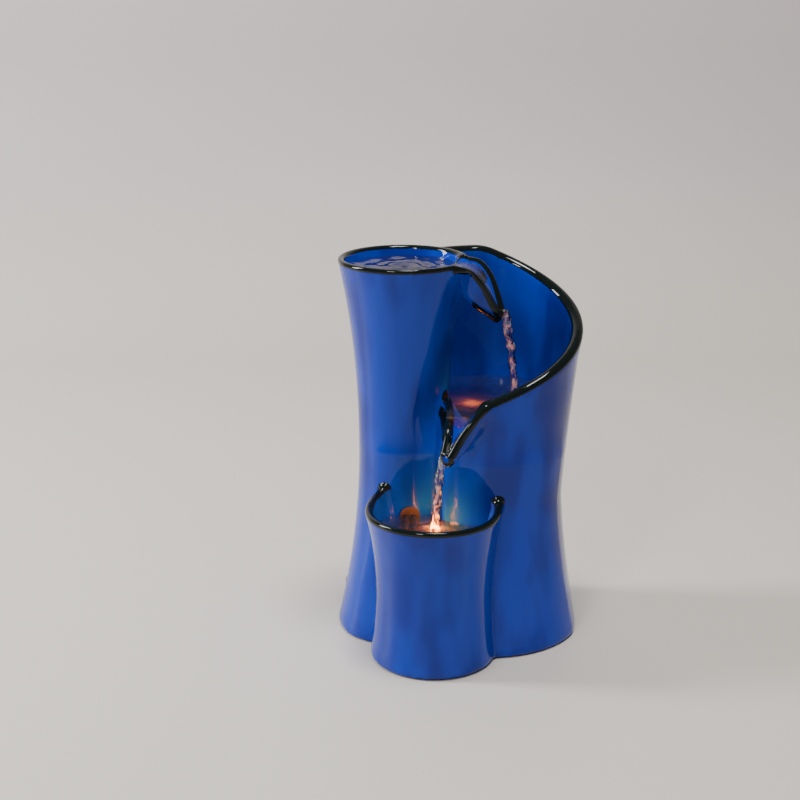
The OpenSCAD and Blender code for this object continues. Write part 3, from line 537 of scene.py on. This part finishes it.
def cup_skin():
    """The cup's wall, from the tower's front round to the scroll's front."""
    clay = clay_sizes()
    x, y = clay.cup_place
    t = np.linspace(0, 1, 240)
    rim = clay.cup_h + clay.cup_climb * np.abs(2 * t - 1) ** 6
    inset, z = wall_section(rim, clay.cup_wall, 0.4 * MM)
    level = np.minimum(z, clay.cup_h)
    to_scroll = math.hypot(clay.scroll_across - x, y)
    start = (math.degrees(math.atan2(-y, -x))
             + meet_angle(math.hypot(x, y), cup_r(level), tower_r(level) - KEY))
    end = (360 + math.degrees(math.atan2(-y, clay.scroll_across - x))
           - meet_angle(to_scroll, cup_r(level), scroll_r(level) - KEY))
    plan = np.array([x, y]) + around(start + (end - start) * t[:, None], cup_r(level) - inset)
    return skin(np.dstack([plan, z]), closed=False)


def smooth_route(points, steps):
    """Points on a smooth curve through given points."""
    p = np.array(points, float)
    p = np.vstack([p[:1], p, p[-1:]])
    t = np.linspace(0, 1, steps, endpoint=False)[:, None]
    spans = [0.5 * (2 * b + (c - a) * t + (2 * a - 5 * b + 4 * c - d) * t**2
                    + (3 * b - a - 3 * c + d) * t**3)
             for a, b, c, d in zip(p, p[1:], p[2:], p[3:])]
    return np.vstack(spans + [p[-1:]])


def spout_lines(which):
    """Left lip, bed, keel and right lip of a spout, in metres."""
    clay = clay_sizes()
    if which == "upper":
        up = clay.tower_h / MM
        lines = ([[34, -29, -1], [41, -24, -2.5], [47.5, -16, -6.5], [56, -11, -17], [63, -6, -32],
                  [68, -2, -42]],
                 [[34, -9, -10], [42, -8, -8.5], [51, -5, -11], [59, -2, -20], [65, 0, -33], [69, 0, -42]],
                 [[36, -9, -15], [42, -9, -18], [46, -9, -28], [51, -8, -35], [58, -6, -40], [67, -2, -45]],
                 [[42, 12, -1], [47, 10, -2], [55, 9, -4], [62, 7, -12], [67, 5, -24], [71, 3, -38]])
    else:
        up = clay.scroll_front / MM
        lines = ([[32, -18, -8], [33, -36, -12], [32, -50, -16], [31, -60, -20], [28, -71, -32]],
                 [[46, -38, -21], [42, -50, -23], [37, -60, -27], [33, -66, -31], [30, -72, -36]],
                 [[47, -40, -26], [47, -56, -28], [43, -64, -31], [37, -70, -34], [31, -73, -38]],
                 [[60, -60, -2], [54, -65, -4], [46, -70, -12], [39, -72, -22], [33, -74, -33]])
    return [(smooth_route(line, 12) + [0, 0, up]) * MM for line in lines]


def bow(left, middle, right, t):
    """Points of the parabola through a left lip, a middle and a right lip."""
    return left * (1 - t) * (1 - 2 * t) + middle * 4 * t * (1 - t) + right * t * (2 * t - 1)


def water_skin(which, share, lift, thickness):
    """A sheet along a spout's bed, over a share of its width, lifted and of that thickness."""
    left, bed, _, right = spout_lines(which)
    t = np.linspace(0.5 - share / 2, 0.5 + share / 2, 33)[:, None]
    half = np.array([0, 0, thickness / 2])
    rings = []
    for l, b, r in zip(left, bed, right):
        line = bow(l, b, r, t) + [0, 0, lift]
        rings.append(np.vstack([line + half, (line - half)[::-1]]))
    return skin(np.array(rings), closed=False)


def spout_skin(which, inset):
    """A spout's body from its bed down to its keel, drawn in by an inset all round."""
    t = np.linspace(0, 1, 33)[:, None]
    down, least = np.array([0, 0, 3 * MM]), 0.8 * MM    # depth of the lips and of the bed
    rings = []
    for l, b, k, r in zip(*spout_lines(which)):
        top = bow(l, b, r, t) - [0, 0, inset]
        low = bow(l - down, k, r - down, t) + [0, 0, inset]
        low[:, 2] = np.minimum(low[:, 2], top[:, 2] - least)
        rings.append(np.vstack([top, low[::-1]]))
    return skin(np.array(rings), closed=False)


# ---------------------------------------------------------------- distance fields

class Grid:
    """A box of evenly spaced points about the tower's axis, and the fields sampled on it."""

    def __init__(self, low, high, pitch):
        self.pitch = pitch
        self.start = np.floor(np.array(low) / pitch).astype(int)
        self.shape = tuple(np.ceil(np.array(high) / pitch).astype(int) - self.start + 1)
        steps = [(np.arange(n) + s) * pitch for n, s in zip(self.shape, self.start)]
        self.x, self.y, self.z = np.meshgrid(*steps, indexing="ij", sparse=True)
        self.transform = openvdb.createLinearTransform(pitch)

    def distance(self, points, quads, reach=26 * MM):
        """Signed distance to a closed skin, negative inside."""
        band = reach / self.pitch
        level = openvdb.FloatGrid.createLevelSetFromPolygons(
            points.astype(np.float32), quads=quads.astype(np.uint32), transform=self.transform,
            exBandWidth=band, inBandWidth=band)
        field = np.empty(self.shape, np.float32)
        level.copyToArray(field, tuple(int(s) for s in self.start))
        return field

    def sample(self, field, points):
        """The field at any points, by linear interpolation."""
        q = points / self.pitch - self.start
        base = np.clip(np.floor(q).astype(int), 0, np.array(self.shape) - 2)
        f = np.clip(q - base, 0, 1)
        step = (self.shape[1] * self.shape[2], self.shape[2], 1)
        corner, flat = base @ np.array(step), field.ravel()
        value = np.zeros(len(points))
        for dx, dy, dz in np.ndindex(2, 2, 2):
            share = np.abs(1 - dx - f[:, 0]) * np.abs(1 - dy - f[:, 1]) * np.abs(1 - dz - f[:, 2])
            value += share * flat[corner + dx * step[0] + dy * step[1] + dz]
        return value

    def refine(self, coarse, field):
        """A coarser grid's field, read at this grid's points."""
        axes = [np.broadcast_to(a, self.shape).ravel() for a in (self.x, self.y, self.z)]
        return coarse.sample(field, np.stack(axes, -1)).reshape(self.shape).astype(np.float32)

    def surface(self, field, settle=3):
        """Points and faces of the field's zero surface, the points settled onto it."""
        level = openvdb.FloatGrid(float(self.pitch * 4))
        level.transform = self.transform
        level.copyFromArray(field.astype(np.float32), tuple(int(s) for s in self.start))
        points, triangles, quads = level.convertToPolygons(0.0, 0.0)
        points = points.astype(float)
        h = self.pitch / 2
        for _ in range(settle):
            here = self.sample(field, points)
            slope = np.stack([self.sample(field, points + step) - self.sample(field, points - step)
                              for step in np.eye(3) * h], -1) / (2 * h)
            points -= slope * (here / np.clip((slope**2).sum(1), 0.25, None)).clip(-h, h)[:, None]
        faces = [tuple(f) for f in triangles.tolist()] + [tuple(f) for f in quads.tolist()]
        return points, faces


def smooth_join(a, b, reach):
    """Union of two fields with a fillet of about that reach."""
    near = np.clip(reach - np.abs(a - b), 0, None)
    return np.minimum(a, b) - near * near / (4 * np.maximum(reach, 1e-6))


def bore(grid, node, radius, depth):
    """Distance to a round hole for a piece, through the tower's wall from a depth outwards."""
    x, y, z = middle_of(node) - AXIS
    a = math.atan2(y, x)
    wall = float(tower_r(z))
    along = grid.x * math.cos(a) + grid.y * math.sin(a)
    side = grid.y * math.cos(a) - grid.x * math.sin(a)
    length = np.maximum(wall - depth - along, along - wall - 6 * MM)
    return np.maximum(np.hypot(side, grid.z - z) - radius, length)


def tower_holes(grid):
    """The holes for the hose, the leads, the side bush and the power socket, with its seat."""
    holes = [bore(grid, node, radius * MM, 12 * MM) for node, radius in
             (("hose_grommet", 7), ("lead_grommet", 6), ("side_bush", 3.2), ("power_inlet", 5.5))]
    return np.minimum.reduce(holes + [bore(grid, "power_inlet", 9 * MM, 1.5 * MM)])


THROAT_ANGLE = math.radians(-14)        # direction of the gap in the tower's lip
THROAT_WIDTH = 36 * MM
THROAT_DEPTH = 14 * MM


def throat(grid):
    """Distance to the gap in the tower's lip that the upper spout fills."""
    clay = clay_sizes()
    along = grid.x * math.cos(THROAT_ANGLE) + grid.y * math.sin(THROAT_ANGLE)
    side = grid.y * math.cos(THROAT_ANGLE) - grid.x * math.sin(THROAT_ANGLE)
    bowl = (np.hypot(2 * side / THROAT_WIDTH, (grid.z - clay.tower_h) / THROAT_DEPTH) - 1) * THROAT_DEPTH
    return np.maximum(bowl, -along)


CLAY_PIECES = ("tower", "scroll", "cup", "upper_spout", "middle_spout")


@lru_cache(maxsize=1)
def pots():
    """The grid round all the clay, and the distances to the three pots on it."""
    clay = clay_sizes()
    low = (-clay.tower_radii[0] - ROOM, clay.cup_place[1] - clay.cup_radii[2] - ROOM, -4 * MM)
    high = (clay.scroll_across + clay.scroll_radii[0] + ROOM, clay.scroll_radii[0] + ROOM,
            clay.tower_h + ROOM)
    grid = Grid(low, high, clay.grain)
    return grid, {"tower": grid.distance(*tower_skin()), "scroll": grid.distance(*scroll_skin()),
                  "cup": grid.distance(*cup_skin())}


def clay_fields(grid):
    """Each clay piece's own distance, and that of all of them joined with fillets."""
    clay = clay_sizes()
    lip = 2.4 * MM
    whole, found = pots()
    own = {pot: field if grid is whole else grid.refine(whole, field) for pot, field in found.items()}
    own["tower"] = np.maximum(own["tower"], -throat(grid))
    for spout in ("upper", "middle"):
        own[spout + "_spout"] = grid.distance(*spout_skin(spout, lip), reach=14 * MM) - lip
    front = np.clip(-grid.y / (30 * MM), 0, 1) * np.clip((172 * MM - grid.z) / (30 * MM), 0, 1)
    below_lip = np.clip((clay.tower_h - grid.z) / (12 * MM), 0, 1)
    top = smooth_join(own["tower"], own["upper_spout"], (1.5 + 5.5 * below_lip) * MM)
    side = smooth_join(own["scroll"], own["middle_spout"], 7 * MM)
    joined = smooth_join(top, side, (8 + 16 * front) * MM)
    joined = smooth_join(joined, own["cup"], 4 * MM)
    holes = tower_holes(grid)
    own["tower"] = np.maximum(own["tower"], -holes)
    return own, np.maximum(np.maximum(joined, -holes), clay.foot_gap - grid.z)


def one_piece(own, joined, name):
    """The part of the joined clay that belongs to one piece; past each seam it dips under its neighbour."""
    others = np.minimum.reduce([own[n] for n in CLAY_PIECES if n != name])
    return joined + 0.6 * np.clip(own[name] - others, 0, None)


def thinness(grid, joined, points):
    """How far the glaze runs thin at each point, from how sharply the clay turns outwards there."""
    small, step = 1 * MM, round(3.6 * MM / grid.pitch) * grid.pitch
    outwards = 2.2 * MM                     # clear of the ridge in the middle of the wall
    flat, sharp = 0.075, 0.12               # bends per mm between which the glaze breaks
    slope = np.stack([grid.sample(joined, points + d) - grid.sample(joined, points - d)
                      for d in np.eye(3) * small], -1)
    probe = points + outwards * slope / np.clip(np.linalg.norm(slope, axis=1), 1e-9, None)[:, None]
    total = sum(grid.sample(joined, probe + d) for d in np.vstack([np.eye(3), -np.eye(3)]) * step)
    bend = (total - 6 * grid.sample(joined, probe)) / step**2
    above_foot = np.clip((points[:, 2] - 6 * MM) / (3 * MM), 0, 1)
    lips = np.vstack([spout_lines(which)[side] for which in ("upper", "middle") for side in (0, 3)])
    near = np.full(len(points), 1.0)
    for place in lips:
        near = np.minimum(near, np.linalg.norm(points - place, axis=1))
    on_lip = np.clip((5.0 * MM - near) / (1.3 * MM), 0, 1)
    return np.maximum(np.clip((bend * MM - flat) / (sharp - flat), 0, 1) * above_foot, on_lip)


def make_mesh(name, points, faces, material, **values):
    """A smooth-shaded mesh object at the tower's axis, with a number for each point where given."""
    mesh = bpy.data.meshes.new(name)
    mesh.from_pydata((points + AXIS).tolist(), [], faces)
    mesh.validate()
    mesh.polygons.foreach_set("use_smooth", np.ones(len(mesh.polygons), bool))
    for key, numbers in values.items():
        attribute = mesh.attributes.new(key, "FLOAT", "POINT")
        attribute.data.foreach_set("value", np.asarray(numbers, np.float32))
    mesh.materials.append(material)
    thing = bpy.data.objects.new(name, mesh)
    bpy.context.scene.collection.objects.link(thing)
    return thing


# ---------------------------------------------------------------- water

def rings(grid, x, y, height, length, reach):
    """Ripples that spread from a point on a pool."""
    r = np.hypot(grid.x - x, grid.y - y)
    return height * np.cos(2 * math.pi * r / length) * np.exp(-r / reach)


def swell(grid, height, length):
    """A slow uneven swell over a pool."""
    a, b = 2 * math.pi / length, 2 * math.pi / (1.7 * length)
    return height * (np.sin(a * grid.x + 0.8 * np.sin(b * grid.y)) * np.sin(a * grid.y * 1.2 + 1.1)
                     + 0.5 * np.sin(b * (grid.x - grid.y) + 2.0))


# Where each fall leaves its spout and where it meets the pool, in mm.
FALLS = {"water_in_scroll": ((69.8, 0.5, 241), (83, 15, 173)),
         "water_in_cup": ((29.8, -72.5, 157), (22, -66, 94))}


def froth(points, name):
    """1 on a fall and 0 on a pool, for each point of a piece of water."""
    if name not in FALLS:
        return np.zeros(len(points))
    top, foot = (np.array(end) * MM for end in FALLS[name])
    t = np.clip((top[2] - points[:, 2]) / (top[2] - foot[2]), 0, 1)
    middle = top[:2] + (foot[:2] - top[:2]) * np.sqrt(t)[:, None]
    away = np.linalg.norm(points[:, :2] - middle, axis=1)
    return np.exp(-((away / (6 * MM)) ** 2)) * np.clip((points[:, 2] - foot[2] - 3 * MM) / (4 * MM), 0, 1)


def fall(grid, top, foot, wide, narrow, strands=3, spread=2.2 * MM, turns=2.3):
    """Distance to falling water: strands that wind round each other and draw together as they speed up."""
    t = np.clip((top[2] - grid.z) / (top[2] - foot[2]), 0, 1.05)
    x = top[0] + (foot[0] - top[0]) * np.sqrt(t)
    y = top[1] + (foot[1] - top[1]) * np.sqrt(t)
    whole = None
    for k in range(strands):
        turn = 2 * math.pi * (turns * t * (1 + 0.15 * k) + k / strands)
        out = spread * (1 - 0.55 * t)
        beads = 1 + 0.22 * np.sin(31 * t + 2.1 * k) + 0.12 * np.sin(73 * t + k)
        radius = (wide + (narrow - wide) * t) * beads
        one = np.hypot(grid.x - x - out * np.cos(turn), grid.y - y - 0.6 * out * np.sin(turn)) - radius
        whole = one if whole is None else smooth_join(whole, one, 1.8 * MM)
    return np.maximum(np.maximum(whole, grid.z - top[2]), foot[2] - grid.z)


def upper_water(grid):
    """The pool in the tower and the sheet of water over the upper spout."""
    water = bpy.context.scene.fountain_water
    pot = clay_sizes()
    level = water.top + rings(grid, 0, 0, 0.9 * MM, 11 * MM, 16 * MM) + swell(grid, 0.35 * MM, 26 * MM)
    pool = np.maximum(grid.z - level, np.hypot(grid.x, grid.y) - tower_r(grid.z) + pot.tower_wall / 2)
    sheet = grid.distance(*water_skin("upper", 0.5, 1.0 * MM, 0.8 * MM), reach=8 * MM) - 0.8 * MM
    floor = np.where(grid.x > 36 * MM, -1, water.top - 4 * MM - grid.z)
    return np.maximum(smooth_join(pool, sheet, 4 * MM), floor)


def middle_water(grid):
    """The upper fall, the pool in the scroll and the sheet of water over the middle spout."""
    water = bpy.context.scene.fountain_water
    pot = clay_sizes()
    top, foot = (np.array(end) * MM for end in FALLS["water_in_scroll"])
    level = water.middle + rings(grid, *foot[:2], 1.2 * MM, 9 * MM, 14 * MM) + swell(grid, 0.4 * MM, 24 * MM)
    z = grid.z
    in_round = np.hypot(grid.x - pot.scroll_across, grid.y) - scroll_r(z) + pot.scroll_wall / 2
    turn = np.radians(touch_angle(z))
    in_fairing = np.maximum(
        grid.x * np.cos(turn) + grid.y * np.sin(turn) - tower_r(z) + pot.scroll_wall / 2,
        np.maximum(-grid.y, grid.x - 45 * MM))
    inside = np.maximum(np.minimum(in_round, in_fairing), tower_r(z) - 2 * MM - np.hypot(grid.x, grid.y))
    back_x = pot.scroll_across + (scroll_r(z) - CORNER_R) * math.cos(math.radians(TURN_IN)) - CORNER_R
    inside = np.maximum(inside, back_x + 3 * MM - grid.x)
    pool = np.maximum(np.maximum(z - level, inside), water.middle - 7 * MM - z)
    sheet = grid.distance(*water_skin("middle", 0.5, 1.0 * MM, 0.8 * MM), reach=8 * MM) - 0.8 * MM
    stream = fall(grid, top, foot, 1.9 * MM, 1.15 * MM)
    return smooth_join(smooth_join(pool, sheet, 4 * MM), stream, 3 * MM)


def cup_water(grid):
    """The lower fall and the top of the pool in the cup."""
    water = bpy.context.scene.fountain_water
    pot = clay_sizes()
    top, foot = (np.array(end) * MM for end in FALLS["water_in_cup"])
    level = water.cup + rings(grid, *foot[:2], 1.6 * MM, 10 * MM, 13 * MM) + swell(grid, 0.5 * MM, 21 * MM)
    x, y = pot.cup_place
    z = grid.z
    inside = np.maximum(np.hypot(grid.x - x, grid.y - y) - cup_r(z) + pot.cup_wall / 2,
                        tower_r(z) - 2 * MM - np.hypot(grid.x, grid.y))
    inside = np.maximum(inside, scroll_r(z) - 2 * MM - np.hypot(grid.x - pot.scroll_across, grid.y))
    pool = np.maximum(np.maximum(z - level, inside), water.cup - 4 * MM - z)
    stream = fall(grid, top, foot, 1.6 * MM, 1.7 * MM, spread=1.8 * MM, turns=1.7)
    return smooth_join(pool, stream, 7 * MM)


# ---------------------------------------------------------------- what each CAD piece is finished in

def finish_nodes(material, *nodes):
    """Gives carried-over CAD pieces one finish."""
    for node in nodes:
        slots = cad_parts[node].data.materials
        slots.clear()
        slots.append(material)


class FOUNTAIN_OT_clay(Operator):
    """Glazed tower, scroll wall, catch cup and the two spouts, luted together with soft fillets"""

    bl_idname = "fountain.clay"
    bl_label = "Glazed clay"

    def execute(self, context):
        clay = context.scene.fountain_clay
        glaze = glazed_cobalt()
        whole, whole_pots = pots()
        near_upper = Grid((24 * MM, -42 * MM, 225 * MM), (84 * MM, 28 * MM, clay.tower_h + ROOM),
                          clay.fine_grain)
        near_middle = Grid((14 * MM, -88 * MM, 140 * MM), (74 * MM, -22 * MM, 200 * MM), clay.fine_grain)
        for grid, pieces in ((whole, ("tower", "scroll", "cup")),
                             (near_upper, ("upper_spout",)), (near_middle, ("middle_spout",))):
            own, joined = clay_fields(grid)
            for piece in pieces:
                points, faces = grid.surface(one_piece(own, joined, piece))
                thing = make_mesh("glazed_" + piece, points, faces, glaze,
                                  thin=thinness(grid, own[piece] if piece in whole_pots else joined, points))
                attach(thing, "fountain")
                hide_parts({"tower": "tower_column", "scroll": "scroll_wall",
                                    "cup": "catch_cup"}.get(piece, piece))
        finish_nodes(glaze, "upper_basin_floor", "middle_basin_floor")
        finish_nodes(fired_stoneware(), "foot_slab")
        finish_nodes(moulded_rubber(), "rubber_feet")
        return {"FINISHED"}


class FOUNTAIN_OT_water(Operator):
    """Pools in the three basins, sheets over the spouts and the two falls"""

    bl_idname = "fountain.water"
    bl_label = "Water"

    def execute(self, context):
        fine = context.scene.fountain_clay.fine_grain
        look = clear_water()
        boxes = {
            "water_in_tower": (upper_water, (-46, -46, 262), (76, 46, 284)),
            "water_in_scroll": (middle_water, (22, -82, 150), (122, 62, 246)),
            "water_in_cup": (cup_water, (-26, -108, 90), (66, -20, 162)),
        }
        for name, (shape, low, high) in boxes.items():
            grid = Grid(np.array(low) * MM, np.array(high) * MM, fine)
            _, joined = clay_fields(grid)
            field = np.maximum(shape(grid), -joined - 0.5 * MM)
            points, faces = grid.surface(field)
            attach(make_mesh(name, points, faces, look, froth=froth(points, name)), "fountain")
        return {"FINISHED"}


class FOUNTAIN_OT_pump(Operator):
    """Finishes for the pump's shells, rotor and motor"""

    bl_idname = "fountain.pump"
    bl_label = "Pump"

    def execute(self, context):
        finish_nodes(pump_abs(), "pump_housing", "pump_front_cover", "pump_rear_cap")
        finish_nodes(white_acetal(), "flow_slider", "volute_cover", "impeller_wheel")
        finish_nodes(sintered_ferrite(), "rotor_magnet")
        finish_nodes(ground_alumina(), "rotor_shaft")
        finish_nodes(stacked_steel(), "stator_core")
        finish_nodes(wound_copper(), "stator_coil")
        finish_nodes(moulded_rubber(), "shaft_bushings", "suction_feet")
        return {"FINISHED"}


class FOUNTAIN_OT_plumbing(Operator):
    """Finishes for the riser hose and its fittings"""

    bl_idname = "fountain.plumbing"
    bl_label = "Plumbing"

    def execute(self, context):
        finish_nodes(extruded_silicone(), "riser_hose")
        finish_nodes(brushed_stainless(), "hose_clamp")
        finish_nodes(moulded_rubber(), "hose_grommet", "lead_grommet", "side_bush", "fitting_gasket")
        finish_nodes(pump_abs(), "outlet_fitting", "fitting_nut")
        return {"FINISHED"}


class FOUNTAIN_OT_wiring(Operator):
    """Finishes for the power socket, the splice block and the leads"""

    bl_idname = "fountain.wiring"
    bl_label = "Wiring"

    def execute(self, context):
        finish_nodes(pump_abs(), "power_inlet", "inlet_nut")
        finish_nodes(nickelled_brass(), "inlet_pin")
        finish_nodes(moulded_rubber(), "inlet_gasket")
        finish_nodes(white_acetal(), "splice_block")
        finish_nodes(sheathed_pvc(), "pump_lead", "cup_lamp_lead", "pool_lamp_lead", "inlet_lead")
        return {"FINISHED"}


class FOUNTAIN_OT_lamps(Operator):
    """The two underwater lamps and the warm light they give"""

    bl_idname = "fountain.lamps"
    bl_label = "Lamps"

    def execute(self, context):
        finish_nodes(white_acetal(), "cup_lamp_case", "pool_lamp_case", "cup_lamp_bracket", "floor_gland")
        finish_nodes(masked_board_painted_glow(), "cup_lamp_board", "pool_lamp_board")
        finish_nodes(lamp_lens("bright_frosted_polycarbonate", 26.0), "cup_lamp_lens")
        finish_nodes(lamp_lens("dim_frosted_polycarbonate", 0.7), "pool_lamp_lens")
        colours = context.scene.fountain_colours
        for name, lens, power in (("cup_glow", "cup_lamp_lens", 0.6), ("pool_glow", "pool_lamp_lens", 0.4)):
            glow = bpy.data.lights.new(name, "POINT")
            glow.energy = power
            glow.color = tuple(colours.lamp)[:3]
            glow.shadow_soft_size = 4 * MM
            lamp = bpy.data.objects.new(name, glow)
            lamp.location = middle_of(lens) + np.array((0, 0, 6 * MM))
            lamp.visible_glossy = False
            context.scene.collection.objects.link(lamp)
        return {"FINISHED"}


def soft_light(name, place, target, size, power, colour):
    """A rectangular area light at a place, aimed at a target."""
    light = bpy.data.lights.new(name, "AREA")
    light.shape = "RECTANGLE"
    light.size, light.size_y = size
    light.energy = power
    light.color = linear(colour)[:3]
    lamp = bpy.data.objects.new(name, light)
    lamp.location = place
    lamp.rotation_mode = "QUATERNION"
    aim = (np.array(target) - np.array(place)).tolist()
    lamp.rotation_quaternion = Vector(aim).to_track_quat("-Z", "Y")
    bpy.context.scene.collection.objects.link(lamp)


class FOUNTAIN_OT_stage(Operator):
    """Camera, soft studio light, and a pale floor that curves up into a backdrop"""

    bl_idname = "fountain.stage"
    bl_label = "Stage"

    def execute(self, context):
        stage = context.scene.fountain_stage
        camera = bpy.data.objects.new("camera", bpy.data.cameras.new("camera"))
        camera.data.sensor_width = 36
        camera.data.lens = stage.lens
        camera.data.shift_x, camera.data.shift_y = stage.shift
        camera.location = stage.eye
        camera.rotation_euler = (math.pi / 2 - stage.dip, 0, 0)
        context.scene.collection.objects.link(camera)
        context.scene.camera = camera

        curve, high, wide = 0.35, 2.2, 3.5
        turn = np.linspace(0, math.pi / 2, 25)
        line = ([(-3.0, 0.0), (-1.0, 0.0), (0.4, 0.0)]
                + [(stage.backdrop - curve + curve * math.sin(a), curve - curve * math.cos(a)) for a in turn]
                + [(stage.backdrop, high)])
        across = np.linspace(-wide, wide, 9)
        points = np.array([(x, y, z) for y, z in line for x in across])
        n = len(across)
        faces = [(i * n + j, i * n + j + 1, (i + 1) * n + j + 1, (i + 1) * n + j)
                 for i in range(len(line) - 1) for j in range(n - 1)]
        make_mesh("floor_and_backdrop", points - AXIS, faces, painted_stage())

        soft_light("window", (-1.5, 0.1, 0.9), (0, 0, 0.15), (0.3, 0.95), 30, "#fbfcff")
        soft_light("overhead", (0.1, -0.2, 1.9), (0, 0, 0.1), (0.45, 0.45), 24, "#ffffff")
        soft_light("front_fill", (-0.9, -1.8, 1.75), (0, 0, 0.15), (0.3, 0.65), 14, "#fff8f0")
        world = bpy.data.worlds.new("studio")
        context.scene.world = world
        world.use_nodes = True
        sky = world.node_tree.nodes["Background"].inputs
        sky[0].default_value = linear("#d9dade")
        sky[1].default_value = 0.28
        return {"FINISHED"}


class FOUNTAIN_PT_panel(Panel):
    """Lists the fountain's pieces, sizes and colours"""

    bl_idname = "FOUNTAIN_PT_panel"
    bl_label = "Tabletop Water Fountain"
    bl_space_type = "VIEW_3D"
    bl_region_type = "UI"
    bl_category = "Fountain"

    def draw(self, context):
        for maker in OPERATORS:
            self.layout.operator(maker.bl_idname)
        for name, kind in GROUPS.items():
            box = self.layout.box()
            box.label(text=kind.__doc__)
            for field in kind.__annotations__:
                box.prop(getattr(context.scene, name), field)


GROUPS = {"fountain_clay": ClaySizes, "fountain_water": WaterLevels,
          "fountain_colours": FountainColours, "fountain_stage": StageSizes}
OPERATORS = (FOUNTAIN_OT_stage, FOUNTAIN_OT_clay, FOUNTAIN_OT_water, FOUNTAIN_OT_pump,
             FOUNTAIN_OT_plumbing, FOUNTAIN_OT_wiring, FOUNTAIN_OT_lamps)


def register():
    for name, kind in GROUPS.items():
        bpy.utils.register_class(kind)
        setattr(bpy.types.Scene, name, PointerProperty(type=kind))
    for kind in (*OPERATORS, FOUNTAIN_PT_panel):
        bpy.utils.register_class(kind)


def unregister():
    for kind in reversed((*OPERATORS, FOUNTAIN_PT_panel)):
        bpy.utils.unregister_class(kind)
    for name, kind in reversed(GROUPS.items()):
        delattr(bpy.types.Scene, name)
        bpy.utils.unregister_class(kind)


def main():
    register()
    for maker in OPERATORS:
        group, name = maker.bl_idname.split(".")
        getattr(getattr(bpy.ops, group), name)()


if __name__ == "__main__":
    main()
